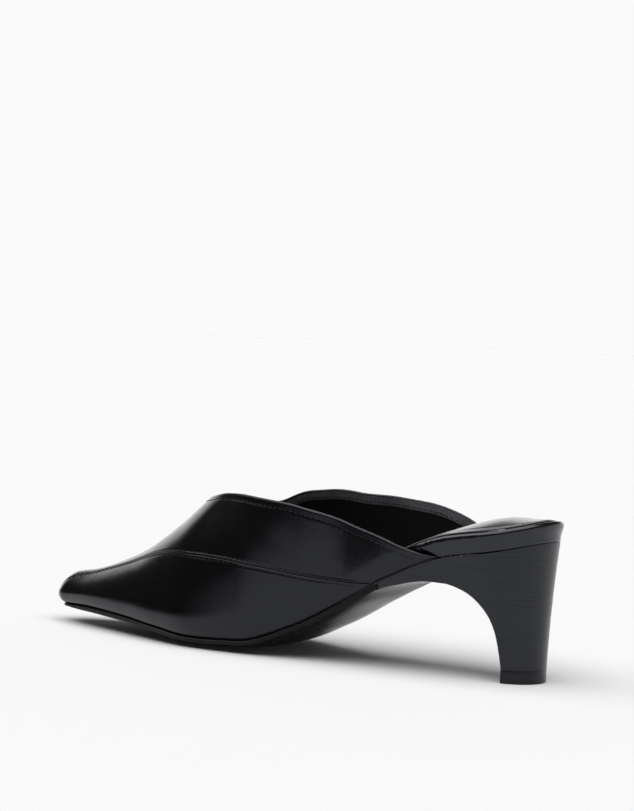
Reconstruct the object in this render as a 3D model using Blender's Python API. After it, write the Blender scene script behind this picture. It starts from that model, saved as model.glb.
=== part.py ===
"""One left shoe: a pointed leather mule on a slim arched heel.

The toe points to -X, the heel to +X, the outer side of the foot to -Y and up is +Z.
Every length is in metres. u is the distance back from the toe tip of the last.
"""

import bmesh
import bpy
import numpy as np

# Main sizes of the shoe.
SHOE_LENGTH = 0.264
BALL_WIDTH = 0.0765
SEAT_RISE = 0.0584

# Rounding of the outline at its two ends, and where the top of the toe begins.
NOSE_ROUND = 0.0068
SEAT_ROUND = 0.0252
TOE_TOP = 0.0090

# Thicknesses and the clearance left between curved pieces.
UPPER_WALL = 0.0018
SOLE_THICK = 0.0030
SOLE_EDGE_ROUND = 0.0011
SOLE_BELLY = 0.0022
TOP_PIECE_HEIGHT = 0.0055
TOP_PIECE_LIP = 0.0005
CLEARANCE = 0.0003

# Rim of the seat, and where it comes out from between the wings.
RIM_HEIGHT = 0.0090
RIM_FLARE = 0.0011
RIM_ROUND = 0.0012
RIM_RUN = 0.0080

# Padded sock lying on the insole.
SOCK_INSET = 0.0014
SOCK_EDGE = 0.0009
SOCK_ROUND = 0.0008
SOCK_CROWN = 0.0036
SOCK_FRONT = 0.0120

# Shares of the length: front of the opening, rear end of the wings, joint of sole and heel.
THROAT = 0.328
WING_END = 0.837
HEEL_FRONT = 0.7242

# Foot of the heel: half width, depth from front to back, and how far its back stands in.
HEEL_FOOT_RADIUS = 0.0146
HEEL_FOOT_DEPTH = 0.0124
HEEL_FOOT_BACK = 0.0031
TOP_PIECE_ROUND = 0.0005
TOP_PIECE_PROUD = 0.0001

# Groove where the two panels of the upper are sewn together.
SEAM_DEPTH = 0.0004
SEAM_HALF = 0.0009
SEAM_MARGIN = 0.0026

# Distances behind the throat at which the first columns of the opening stand.
LIP_STEPS = np.array([0.0007, 0.0020, 0.0040, 0.0068, 0.0105])

# Share of length, outline height (share of SEAT_RISE), half widths (shares of BALL_WIDTH).
LAST = np.array([
    # share  height   near    far
    (0.000, 0.1445, 0.0931, 0.0757),
    (0.031, 0.1479, 0.1382, 0.1255),
    (0.098, 0.1590, 0.2257, 0.2300),
    (0.196, 0.1446, 0.3295, 0.3630),
    (0.294, 0.1087, 0.4227, 0.4532),
    (0.373, 0.0805, 0.4678, 0.4802),
    (0.471, 0.0997, 0.4480, 0.4350),
    (0.569, 0.2541, 0.3880, 0.3304),
    (0.667, 0.5049, 0.3440, 0.2640),
    (0.745, 0.7059, 0.3500, 0.3040),
    (0.843, 0.8931, 0.3464, 0.3353),
    (0.941, 0.9764, 0.3357, 0.3288),
    (1.000, 1.0508, 0.3299, 0.3214)])

# Share of length, ridge height (share of SEAT_RISE), ridge side shift (share of BALL_WIDTH).
RIDGE = np.array([
    # share  height   shift
    (0.000, 0.3670, -0.030),
    (0.030, 0.4123, -0.032),
    (0.080, 0.4610, -0.036),
    (0.150, 0.5747, -0.038),
    (0.200, 0.6857, -0.034),
    (0.250, 0.8430, -0.028),
    (0.300, 1.0248, -0.020),
    (0.335, 1.1697, -0.014),
    (0.420, 1.5197, 0.000),
    (0.550, 1.9962, 0.000),
    (0.700, 2.3363, 0.000),
    (0.900, 2.3972, 0.000)])

# Share of length, swell of the wall past the outline and height of its widest line (both
# shares of BALL_WIDTH), squareness of the section.
FORM = np.array([
    # share swell  belly  square
    (0.00, 0.039, 0.065, 1.50),
    (0.05, 0.031, 0.072, 1.50),
    (0.20, 0.037, 0.105, 1.60),
    (0.35, 0.042, 0.131, 1.80),
    (0.50, 0.037, 0.144, 1.90),
    (0.70, 0.021, 0.144, 2.00),
    (0.90, 0.013, 0.131, 2.10)])

# Edge of the opening: its height above the outline of the last (share of SEAT_RISE).
TOPLINE = np.array([
    # share   near   far
    (0.3280, 1.043, 1.043),
    (0.3345, 1.055, 1.045),
    (0.3547, 1.080, 1.038),
    (0.3653, 1.098, 1.034),
    (0.3998, 1.132, 1.041),
    (0.4170, 1.135, 1.077),
    (0.4346, 1.135, 1.104),
    (0.4653, 1.125, 1.130),
    (0.4997, 1.089, 1.120),
    (0.5292, 1.027, 1.079),
    (0.5752, 0.906, 0.974),
    (0.6246, 0.743, 0.851),
    (0.6752, 0.545, 0.705),
    (0.7285, 0.346, 0.534),
    (0.7757, 0.178, 0.363),
    (0.8068, 0.075, 0.229),
    (0.8230, 0.043, 0.134),
    (0.8370, 0.027, 0.031)])

# Sewn line across the near side. A turn of 1 is the ridge, 0 the widest line, -1 the outline.
SEAM = np.array([
    # share   turn
    (0.0000, 1.000),
    (0.0107, 0.850),
    (0.0286, 0.760),
    (0.0539, 0.710),
    (0.1037, 0.689),
    (0.1540, 0.647),
    (0.2088, 0.590),
    (0.2411, 0.538),
    (0.2918, 0.445),
    (0.3392, 0.362),
    (0.3783, 0.311),
    (0.4423, 0.238),
    (0.4941, 0.186),
    (0.5417, 0.128),
    (0.5885, 0.071),
    (0.6343, 0.014),
    (0.6645, -0.290),
    (0.6934, -0.683),
    (0.7200, -1.000)])

# Arched front of the heel seen from the side: share of the way from the joint with the sole to
# the front of the foot, and height (share of SEAT_RISE).
BREAST = np.array([
    # reach  height
    (-0.042, 0.586),
    (0.000, 0.604),
    (0.058, 0.628),
    (0.168, 0.659),
    (0.278, 0.687),
    (0.412, 0.705),
    (0.553, 0.702),
    (0.626, 0.688),
    (0.736, 0.644),
    (0.841, 0.558),
    (0.910, 0.462),
    (0.952, 0.349),
    (0.977, 0.217),
    (0.994, 0.094),
    (0.999, -0.034)])
BREAST_TURN = 7

# Thickness of the insole (share of RIM_HEIGHT) and crown of the sock (share of SOCK_CROWN).
INSOLE = np.array([
    # share thick crown
    (0.00, 0.18, 0.11),
    (0.42, 0.18, 0.17),
    (0.55, 0.42, 0.22),
    (0.67, 0.80, 0.39),
    (0.76, 0.98, 0.67),
    (0.82, 1.00, 0.89),
    (0.92, 1.00, 1.00),
    (1.00, 1.00, 0.83)])

# Counts of rows, columns and cells in the solids.
WALL_ROWS = 13
SEAM_ROW = 7
SECTION_SAMPLES = 48
NOSE_COLUMNS = 6
SEAT_COLUMNS = 10
VAMP_COLUMNS = 14
WING_COLUMNS = 20
SLAB_COLUMNS = 34
CROSS_CELLS = 6
ARCH_COLUMNS = 18
HEEL_ROWS = 12
TOP_PIECE_COLUMNS = 12

# Least distance between two stations.
STATION_GAP = 0.001

BLACK_LEATHER = (0.012, 0.012, 0.013, 1.0)
SATIN_BLACK = (0.018, 0.018, 0.019, 1.0)
STACKED_BLACK = (0.020, 0.020, 0.022, 1.0)
RUBBER_BLACK = (0.015, 0.015, 0.015, 1.0)
LINING_BLACK = (0.025, 0.025, 0.027, 1.0)


def curve(table, column, at):
    """Monotone cubic through one column of a table, read by its first column."""
    xs = table[:, 0]
    ys = table[:, column]
    at = np.clip(np.asarray(at, float), xs[0], xs[-1])
    step = np.diff(xs)
    rise = np.diff(ys) / step
    slope = np.zeros(len(xs))
    w1 = 2 * step[1:] + step[:-1]
    w2 = step[1:] + 2 * step[:-1]
    same = rise[:-1] * rise[1:] > 0
    safe1 = np.where(same, rise[:-1], 1.0)
    safe2 = np.where(same, rise[1:], 1.0)
    slope[1:-1] = np.where(same, (w1 + w2) / (w1 / safe1 + w2 / safe2), 0.0)
    slope[0] = ((2 * step[0] + step[1]) * rise[0] - step[0] * rise[1]) / (step[0] + step[1])
    slope[-1] = ((2 * step[-1] + step[-2]) * rise[-1] - step[-1] * rise[-2]) / (step[-1] + step[-2])
    if slope[0] * rise[0] <= 0:
        slope[0] = 0.0
    if slope[-1] * rise[-1] <= 0:
        slope[-1] = 0.0
    k = np.clip(np.searchsorted(xs, at, side="right") - 1, 0, len(xs) - 2)
    t = (at - xs[k]) / step[k]
    start = (2 * t**3 - 3 * t**2 + 1) * ys[k] + (t**3 - 2 * t**2 + t) * step[k] * slope[k]
    end = (3 * t**2 - 2 * t**3) * ys[k + 1] + (t**3 - t**2) * step[k] * slope[k + 1]
    return start + end


def ease(value):
    """Smooth 0 to 1 ramp."""
    value = np.clip(value, 0.0, 1.0)
    return value * value * (3.0 - 2.0 * value)


def last_height(u):
    """Height of the outline of the last, which the sole and the heel carry."""
    return SEAT_RISE * curve(LAST, 1, u / SHOE_LENGTH)


def half_width(u, side):
    """Half width of the last's outline; side is -1 near, 1 far. Both ends are rounded to a point."""
    width = BALL_WIDTH * curve(LAST, 2 if side < 0 else 3, u / SHOE_LENGTH)
    nose = np.clip(1 - u / NOSE_ROUND, 0, 1)
    seat = np.clip((u - (SHOE_LENGTH - SEAT_ROUND)) / SEAT_ROUND, 0, 1)
    return width * np.sqrt(np.clip(1 - nose**2, 0, 1)) * np.sqrt(np.clip(1 - seat**2, 0, 1))


def wall_point(u, turn, side):
    """Point on the outer face of the upper. turn runs from -1 at the outline to 1 at the ridge."""
    u, turn = np.broadcast_arrays(np.asarray(u, float), np.asarray(turn, float))
    share = u / SHOE_LENGTH
    ridge_u = np.hypot(u, TOE_TOP)
    ridge_z = SEAT_RISE * curve(RIDGE, 1, ridge_u / SHOE_LENGTH)
    ridge_y = BALL_WIDTH * curve(RIDGE, 2, ridge_u / SHOE_LENGTH)
    dx = u - ridge_u
    dy = side * half_width(u, side) - ridge_y
    reach = np.hypot(dx, dy)
    swell = BALL_WIDTH * curve(FORM, 1, share)
    belly = BALL_WIDTH * curve(FORM, 2, share)
    power = 2.0 / curve(FORM, 3, share)
    belly_z = last_height(u) + belly
    angle = np.clip(turn, 0, 1) * np.pi / 2
    cosine = np.where(turn >= 1, 0.0, np.cos(angle))
    out_above = (reach + swell) * cosine**power
    z_above = belly_z + (ridge_z - belly_z) * np.sin(angle)**power
    low = np.clip(-turn, 0, 1)
    out = np.where(turn >= 0, out_above, reach + swell * (1 - low**2))
    z = np.where(turn >= 0, z_above, belly_z - belly * low)
    return np.stack([ridge_u + dx / reach * out, ridge_y + dy / reach * out, z], -1)


def top_turn(u, side):
    """Turn at which the wall ends: the ridge in front of the throat, the topline behind it."""
    share = u / SHOE_LENGTH
    height = SEAT_RISE * curve(TOPLINE, 1 if side < 0 else 2, share)
    belly = BALL_WIDTH * curve(FORM, 2, share)
    ridge = SEAT_RISE * curve(RIDGE, 1, np.hypot(u, TOE_TOP) / SHOE_LENGTH) - last_height(u)
    part = np.clip((height - belly) / (ridge - belly), 0, 1)
    above = np.arcsin(part**(curve(FORM, 3, share) / 2)) * 2 / np.pi
    cut = np.where(height >= belly, above, height / belly - 1)
    return np.where(u <= THROAT * SHOE_LENGTH, 1.0, cut)


def wall_columns():
    """Distances from the toe tip at which the upper's columns stand, close at nose and throat."""
    throat = THROAT * SHOE_LENGTH
    nose = NOSE_ROUND * (1 - np.cos(np.linspace(0, np.pi / 2, NOSE_COLUMNS + 1)))
    vamp = np.linspace(NOSE_ROUND, throat, VAMP_COLUMNS + 1)[1:]
    lip = throat + LIP_STEPS
    wing = np.linspace(lip[-1], WING_END * SHOE_LENGTH, WING_COLUMNS + 1)[1:]
    return np.concatenate([nose, vamp, lip, wing]), NOSE_COLUMNS + VAMP_COLUMNS


def row_shares(u, side, length, seam_at):
    """Shares of the section at which rows lie; on the near side one row follows the seam."""
    even = np.linspace(0, 1, WALL_ROWS + 1)
    half = SEAM_HALF / length
    low = np.linspace(0, seam_at - half, SEAM_ROW)
    high = np.linspace(seam_at + half, 1, WALL_ROWS - SEAM_ROW)
    sewn = np.concatenate([low, [seam_at], high])
    if side < 0:
        return sewn
    return sewn + (even - sewn) * ease(u / (3 * NOSE_ROUND))


def wall_section(u, side):
    """One column of the outer face, with the depth of the seam groove at each row."""
    turns = np.linspace(-1, float(top_turn(u, side)), SECTION_SAMPLES + 1)
    line = wall_point(u, turns, side)
    lengths = np.concatenate([[0], np.cumsum(np.linalg.norm(np.diff(line, axis=0), axis=1))])
    total = lengths[-1]
    seam = np.interp(float(curve(SEAM, 1, u / SHOE_LENGTH)), turns, lengths)
    margin = min(SEAM_MARGIN, 0.4 * total)
    held = float(np.clip(seam, margin, total - margin))
    shares = row_shares(u, side, max(total, 4 * SEAM_HALF), held / total)
    rows = np.stack([np.interp(shares * total, lengths, line[:, a]) for a in range(3)], -1)
    depth = np.zeros(WALL_ROWS + 1)
    if side < 0:
        inside = min(seam, total - seam)
        depth[SEAM_ROW] = SEAM_DEPTH * float(ease((inside - 0.5 * SEAM_MARGIN) / SEAM_MARGIN))
    return rows, depth


def solid_object(name, vertices, faces, colour, rough):
    """Make one closed mesh object with its own material."""
    mesh = bpy.data.meshes.new(name)
    mesh.from_pydata([tuple(v) for v in vertices], [], faces)
    work = bmesh.new()
    work.from_mesh(mesh)
    bmesh.ops.recalc_face_normals(work, faces=work.faces)
    for face in work.faces:
        face.smooth = True
    work.to_mesh(mesh)
    work.free()
    item = bpy.data.objects.new(name, mesh)
    bpy.context.scene.collection.objects.link(item)
    material = bpy.data.materials.new(name + "_surface")
    material.use_nodes = True
    shader = material.node_tree.nodes["Principled BSDF"]
    shader.inputs["Base Color"].default_value = colour
    shader.inputs["Roughness"].default_value = rough
    shader.inputs["Metallic"].default_value = 0.0
    mesh.materials.append(material)
    return item


def upper_mesh():
    """Hollow upper: two outer half grids joined along ridge and toe, and their inner twins."""
    columns, throat = wall_columns()
    last = len(columns) - 1
    top = WALL_ROWS
    ids = {}
    points = []
    grooves = []
    for side in (-1, 1):
        for i, u in enumerate(columns):
            rows, depth = wall_section(u, side)
            for k in range(top + 1):
                shared = side > 0 and (i == 0 or (k == top and i <= throat))
                if shared:
                    ids[side, i, k] = ids[-1, i, k]
                else:
                    ids[side, i, k] = len(points)
                    points.append(rows[k])
                    grooves.append(depth[k])
    outer = np.array(points)
    grooves = np.array(grooves)
    quads = []
    for side in (-1, 1):
        for i in range(last):
            for k in range(top):
                quad = [ids[side, i, k], ids[side, i + 1, k], ids[side, i + 1, k + 1], ids[side, i, k + 1]]
                quads.append(quad if side < 0 else quad[::-1])
    normals = np.zeros_like(outer)
    for quad in quads:
        a, b, c, d = outer[quad]
        face = np.cross(c - a, d - b)
        for v in quad:
            normals[v] += face
    bottom = [ids[s, i, 0] for s in (-1, 1) for i in range(last + 1)]
    normals[bottom, 2] = 0
    normals /= np.linalg.norm(normals, axis=1)[:, None]
    inner = outer - UPPER_WALL * normals
    inner[:, 2] = np.maximum(inner[:, 2], outer[:, 2].min())
    for v in bottom:
        inner[v, 2] = outer[v, 2]
    outer = outer - grooves[:, None] * normals
    count = len(outer)
    vertices = list(outer) + list(inner)
    faces = [list(q) for q in quads] + [[v + count for v in q[::-1]] for q in quads]
    lip = {}
    for side in (-1, 1):
        for i in range(throat, last + 1):
            if side > 0 and i == throat:
                lip[side, i] = lip[-1, i]
                continue
            v = ids[side, i, top]
            below = ids[side, i, top - 1]
            up = outer[v] - outer[below] if i > throat else np.array([1.0, 0.0, 0.6])
            up = up / np.linalg.norm(up)
            lip[side, i] = len(vertices)
            vertices.append((outer[v] + inner[v]) / 2 + 0.4 * UPPER_WALL * up)
    for side in (-1, 1):
        for i in range(last):
            a = ids[side, i, 0]
            b = ids[side, i + 1, 0]
            faces.append([a, b, b + count, a + count])
            if i >= throat:
                a = ids[side, i, top]
                b = ids[side, i + 1, top]
                faces.append([a, b, lip[side, i + 1], lip[side, i]])
                faces.append([lip[side, i], lip[side, i + 1], b + count, a + count])
        for k in range(top):
            a = ids[side, last, k]
            b = ids[side, last, k + 1]
            faces.append([a, b, b + count, a + count])
        v = ids[side, last, top]
        faces.append([v, lip[side, last], v + count])
    vertices = np.array(vertices)
    vertices[:, 2] += CLEARANCE
    return vertices, faces


def slab_mesh(us, near, far, levels, crown, dip, flat_start):
    """Closed plate built from stacked outlines.

    us are the stations; near and far the half widths at them. Each level is a pair of functions of
    u: outset and height. crown lifts the middle of the top, dip lowers the middle of the bottom,
    which is pressed flat where it would reach below the ground.
    The rear ends in a point when its width is zero, otherwise in a flat face.
    """
    cells = CROSS_CELLS
    last = len(us) - 1
    flat_end = near[-1] + far[-1] > 1e-6
    keys = [(i, 0) for i in range(last + 1)]
    if flat_end:
        keys += [(last, k) for k in range(1, cells)]
        keys += [(i, cells) for i in range(last, 0, -1)]
    else:
        keys += [(i, cells) for i in range(last - 1, 0, -1)]
    if flat_start:
        keys += [(0, k) for k in range(cells, 0, -1)]
    plan = np.array([(us[i], -near[i] + (near[i] + far[i]) * k / cells) for i, k in keys])
    before = plan - np.roll(plan, 1, axis=0)
    after = np.roll(plan, -1, axis=0) - plan
    before /= np.linalg.norm(before, axis=1)[:, None]
    after /= np.linalg.norm(after, axis=1)[:, None]
    along = before + after
    along /= np.linalg.norm(along, axis=1)[:, None]
    outward = np.stack([along[:, 1], -along[:, 0]], -1)
    stations = plan[:, 0]
    size = len(keys)
    vertices = []
    faces = []
    for outset, height in levels:
        moved = plan + outward * np.broadcast_to(outset(stations), (size,))[:, None]
        z = np.broadcast_to(height(np.clip(moved[:, 0], 0, SHOE_LENGTH)), (size,))
        vertices += [np.array([p[0], p[1], h]) for p, h in zip(moved, z)]
    for n in range(len(levels) - 1):
        for j in range(size):
            a = n * size + j
            b = n * size + (j + 1) % size
            faces.append([a, b, b + size, a + size])
    place = {key: j for j, key in enumerate(keys)}
    for level, lift in ((0, dip), (len(levels) - 1, crown)):
        start = level * size
        here = {}
        for i in range(last + 1):
            for k in range(cells + 1):
                key = (i, k)
                if i == 0 and not flat_start:
                    key = (0, 0)
                if i == last and not flat_end:
                    key = (last, 0)
                if key in place:
                    here[i, k] = start + place[key]
                    continue
                a = vertices[start + place[i, 0]]
                b = vertices[start + place[i, cells]]
                t = k / cells
                point = a + (b - a) * t
                point[2] = max(point[2] + float(lift(us[i])) * (1 - (2 * t - 1)**2), 0.0)
                here[i, k] = len(vertices)
                vertices.append(point)
        for i in range(last):
            for k in range(cells):
                quad = [here[i, k], here[i + 1, k], here[i + 1, k + 1], here[i, k + 1]]
                unique = list(dict.fromkeys(quad))
                if len(unique) > 2:
                    faces.append(unique)
    return np.array(vertices), faces


def outline_stations(start, end):
    """Stations along the outline, close together on the rounded ends."""
    nose = NOSE_ROUND * (1 - np.cos(np.linspace(0, np.pi / 2, NOSE_COLUMNS + 1)))
    seat = SHOE_LENGTH - SEAT_ROUND * (1 - np.sin(np.linspace(0, np.pi / 2, SEAT_COLUMNS + 1)))
    body = np.linspace(NOSE_ROUND, SHOE_LENGTH - SEAT_ROUND, SLAB_COLUMNS)
    every = np.concatenate([nose, body[1:-1], seat])
    kept = every[(every > start + STATION_GAP) & (every < end - STATION_GAP)]
    return np.concatenate([[start], kept, [end]])


def sole_mesh():
    """Thin outsole from the toe to the front of the heel, with a rounded edge and a soft belly."""
    us = outline_stations(0.0, HEEL_FRONT * SHOE_LENGTH - CLEARANCE)

    def floor(u):
        return np.maximum(last_height(u) - SOLE_THICK, 0.0)

    def belly(u):
        full = ease(u / (6 * NOSE_ROUND)) * np.clip((0.60 - u / SHOE_LENGTH) / 0.20, 0, 1)
        return -SOLE_BELLY * full

    levels = [
        (lambda u: -SOLE_EDGE_ROUND, floor),
        (lambda u: -0.3 * SOLE_EDGE_ROUND, lambda u: floor(u) + 0.25 * SOLE_EDGE_ROUND),
        (lambda u: 0.0, lambda u: floor(u) + SOLE_EDGE_ROUND),
        (lambda u: 0.0, lambda u: last_height(u) - 0.3 * SOLE_EDGE_ROUND),
        (lambda u: -0.3 * SOLE_EDGE_ROUND, last_height)]
    return slab_mesh(us, half_width(us, -1), half_width(us, 1), levels, lambda u: 0.0, belly, False)


def insole_thick(u):
    """Thickness of the insole: a thin board in front, the full rim at the seat."""
    return RIM_HEIGHT * curve(INSOLE, 1, u / SHOE_LENGTH)


def insole_top(u):
    """Height of the insole's upper face."""
    return last_height(u) + CLEARANCE + insole_thick(u)


def rim_free(u):
    """0 inside the upper, 1 behind the wings where the rim stands free."""
    return ease((u - WING_END * SHOE_LENGTH - STATION_GAP) / RIM_RUN)


def insole_side(u, share):
    """Outset of the insole's side at a share of its thickness: it follows the wall inside the
    upper and comes out flush with the heel, flaring upward, behind the wings."""
    height = share * insole_thick(u)
    swell = BALL_WIDTH * curve(FORM, 1, u / SHOE_LENGTH)
    belly = BALL_WIDTH * curve(FORM, 2, u / SHOE_LENGTH)
    low = np.clip(1 - height / belly, 0, 1)
    lean = 2 * swell * low / belly
    inside = swell * (1 - low**2) - UPPER_WALL * np.sqrt(1 + lean**2) - 2 * CLEARANCE
    behind = RIM_FLARE * ease((share - 0.2) / 0.6) - CLEARANCE
    free = rim_free(u)
    return inside * (1 - free) + behind * free


def insole_mesh():
    """Insole board whose seat part is the tall wrapped rim."""
    us = outline_stations(0.0, SHOE_LENGTH)

    def level(share, rounding):
        def outset(u):
            return insole_side(u, share) - rounding * RIM_ROUND * (0.3 + 0.7 * rim_free(u))

        def height(u):
            return last_height(u) + CLEARANCE + share * insole_thick(u)

        return outset, height

    levels = [level(0.0, 0.3), level(0.08, 0.0), level(0.45, 0.0), level(0.80, 0.0), level(0.94, 0.3),
              level(1.0, 1.0)]
    widths = half_width(us, -1), half_width(us, 1)
    return slab_mesh(us, widths[0], widths[1], levels, lambda u: 0.0, lambda u: 0.0, False)


def sock_mesh():
    """Padded sock on the insole, crowned at the seat."""
    us = outline_stations(SOCK_FRONT, SHOE_LENGTH)

    def inset(u):
        free = rim_free(u)
        return insole_side(u, 1.0) - CLEARANCE * (1 - free) - (RIM_ROUND + SOCK_INSET) * free

    levels = [
        (inset, lambda u: insole_top(u) + CLEARANCE),
        (inset, lambda u: insole_top(u) + CLEARANCE + 0.5 * SOCK_EDGE),
        (lambda u: inset(u) - SOCK_ROUND, lambda u: insole_top(u) + CLEARANCE + SOCK_EDGE)]
    widths = half_width(us, -1), half_width(us, 1)

    def crown(u):
        fullness = float(half_width(u, -1)) / widths[0].max()
        return SOCK_CROWN * curve(INSOLE, 2, u / SHOE_LENGTH) * fullness**2

    return slab_mesh(us, widths[0], widths[1], levels, crown, lambda u: 0.0, True)


def foot_half_width(x):
    """Half width of the heel's foot: straight, then part of a circle at the back."""
    centre = SHOE_LENGTH - HEEL_FOOT_BACK - HEEL_FOOT_RADIUS
    away = np.clip((x - centre) / HEEL_FOOT_RADIUS, 0, 1)
    return HEEL_FOOT_RADIUS * np.sqrt(1 - away**2)


def heel_blank_mesh():
    """Heel before its front is cut: the seat's outline above, the foot's outline below."""
    front = HEEL_FRONT * SHOE_LENGTH
    foot_back = SHOE_LENGTH - HEEL_FOOT_BACK
    us = outline_stations(front, SHOE_LENGTH)
    cells = CROSS_CELLS
    last = len(us) - 1
    foot_front = (front + foot_back - HEEL_FOOT_DEPTH) / 2
    foot_us = foot_front + (us - front) / (SHOE_LENGTH - front) * (foot_back - foot_front)
    keys = [(i, 0) for i in range(last + 1)] + [(i, cells) for i in range(last - 1, -1, -1)]
    keys += [(0, k) for k in range(cells - 1, 0, -1)]

    def upper_ring():
        ring = []
        for i, k in keys:
            a = -half_width(us[i], -1)
            b = half_width(us[i], 1)
            ring.append((us[i], a + (b - a) * k / cells, last_height(us[i])))
        return np.array(ring)

    def lower_ring():
        ring = []
        for i, k in keys:
            w = foot_half_width(foot_us[i])
            ring.append((foot_us[i], -w + 2 * w * k / cells, 0.0))
        return np.array(ring)

    above = upper_ring()
    below = lower_ring()
    size = len(keys)
    vertices = []
    faces = []
    steps = HEEL_ROWS
    floor = TOP_PIECE_HEIGHT + CLEARANCE
    for n in range(steps + 1):
        z = floor + (above[:, 2] - floor) * n / steps
        share = z / above[:, 2]
        spread = 0.25 * share + 0.75 * share**2.2
        ring = below + (above - below) * spread[:, None]
        ring[:, 2] = z
        vertices += list(ring)
    for n in range(steps):
        for j in range(size):
            a = n * size + j
            b = n * size + (j + 1) % size
            faces.append([a, b, b + size, a + size])
    place = {key: j for j, key in enumerate(keys)}
    for start in (0, steps * size):
        for i in range(last):
            for k in range(cells):
                quad = []
                for ii, kk in ((i, k), (i + 1, k), (i + 1, k + 1), (i, k + 1)):
                    if ii == last:
                        quad.append(start + place[last, 0])
                    elif (ii, kk) in place:
                        quad.append(start + place[ii, kk])
                    else:
                        a = vertices[start + place[ii, 0]]
                        b = vertices[start + place[ii, cells]]
                        place_key = (start, ii, kk)
                        if place_key not in place:
                            place[place_key] = len(vertices)
                            vertices.append(a + (b - a) * kk / cells)
                        quad.append(place[place_key])
                unique = list(dict.fromkeys(quad))
                if len(unique) > 2:
                    faces.append(unique)
    return np.array(vertices), faces


def breast_cutter_mesh():
    """Prism under the arch of the heel: a run below the flap, then a drop to the foot."""
    front = HEEL_FRONT * SHOE_LENGTH
    span = SHOE_LENGTH - HEEL_FOOT_BACK - HEEL_FOOT_DEPTH - front
    crest = BREAST[BREAST_TURN]
    shares = np.linspace(BREAST[0, 0], crest[0], ARCH_COLUMNS)
    heights = curve(BREAST, 1, shares)
    falling = BREAST[BREAST_TURN:][::-1][:, ::-1]
    drops = np.linspace(crest[1], BREAST[-1, 1], ARCH_COLUMNS + 1)[1:]
    backs = curve(falling, 1, drops)
    line = [(front + s * span, SEAT_RISE * h) for s, h in zip(shares, heights)]
    line += [(front + s * span, SEAT_RISE * h) for s, h in zip(backs, drops)]
    line.append((front + BREAST[0, 0] * span, SEAT_RISE * BREAST[-1, 1]))
    size = len(line)
    vertices = [(x, y, z) for y in (-BALL_WIDTH, BALL_WIDTH) for x, z in line]
    faces = [list(range(size)), list(range(2 * size - 1, size - 1, -1))]
    for j in range(size):
        a = j
        b = (j + 1) % size
        faces.append([a, b, b + size, a + size])
    return np.array(vertices), faces


def top_piece_mesh():
    """Walking layer under the heel, a lip proud of the heel's front."""
    back = SHOE_LENGTH - HEEL_FOOT_BACK
    front = back - HEEL_FOOT_DEPTH - TOP_PIECE_LIP
    angles = np.linspace(0, np.pi / 2, TOP_PIECE_COLUMNS + 1)
    us = front + (back - front) * np.sin(angles)
    widths = foot_half_width(us)
    widths[-1] = 0.0
    levels = [
        (lambda u: TOP_PIECE_PROUD - TOP_PIECE_ROUND, lambda u: 0.0),
        (lambda u: TOP_PIECE_PROUD, lambda u: TOP_PIECE_ROUND),
        (lambda u: TOP_PIECE_PROUD, lambda u: TOP_PIECE_HEIGHT)]
    return slab_mesh(us, widths, widths, levels, lambda u: 0.0, lambda u: 0.0, True)


def main():
    for item in list(bpy.data.objects):
        bpy.data.objects.remove(item, do_unlink=True)
    upper_vertices, upper_faces = upper_mesh()
    sole_vertices, sole_faces = sole_mesh()
    insole_vertices, insole_faces = insole_mesh()
    everything = np.concatenate([upper_vertices, sole_vertices, insole_vertices])
    middle = (everything.max(0) + everything.min(0)) / 2
    shift = np.array([middle[0], middle[1], 0.0])
    solid_object("upper", upper_vertices - shift, upper_faces, BLACK_LEATHER, 0.22)
    solid_object("outsole", sole_vertices - shift, sole_faces, SATIN_BLACK, 0.45)
    solid_object("insole", insole_vertices - shift, insole_faces, BLACK_LEATHER, 0.25)
    vertices, faces = sock_mesh()
    solid_object("sock", vertices - shift, faces, LINING_BLACK, 0.5)
    vertices, faces = heel_blank_mesh()
    heel = solid_object("heel", vertices - shift, faces, STACKED_BLACK, 0.4)
    vertices, faces = breast_cutter_mesh()
    cutter = solid_object("breast_cutter", vertices - shift, faces, STACKED_BLACK, 0.4)
    cutter.hide_render = True
    cutter.display_type = "WIRE"
    cut = heel.modifiers.new("breast", "BOOLEAN")
    cut.operation = "DIFFERENCE"
    cut.solver = "EXACT"
    cut.object = cutter
    vertices, faces = top_piece_mesh()
    solid_object("top_piece", vertices - shift, faces, RUBBER_BLACK, 0.6)


main()
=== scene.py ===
# %% [markdown]
# A black leather mule, dressed in Blender.
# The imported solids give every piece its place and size. This script builds the surfaces that are
# seen: the sewn upper with its folded edge and lining, the thin sole, the wrapped seat rim, the
# padded sock, the stacked heel and its top piece. Everything is in metres, toe to -X, up +Z.

# %% Load the frame
import math

import bmesh
import bpy
import numpy as np
from mathutils import Matrix, Vector


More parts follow.
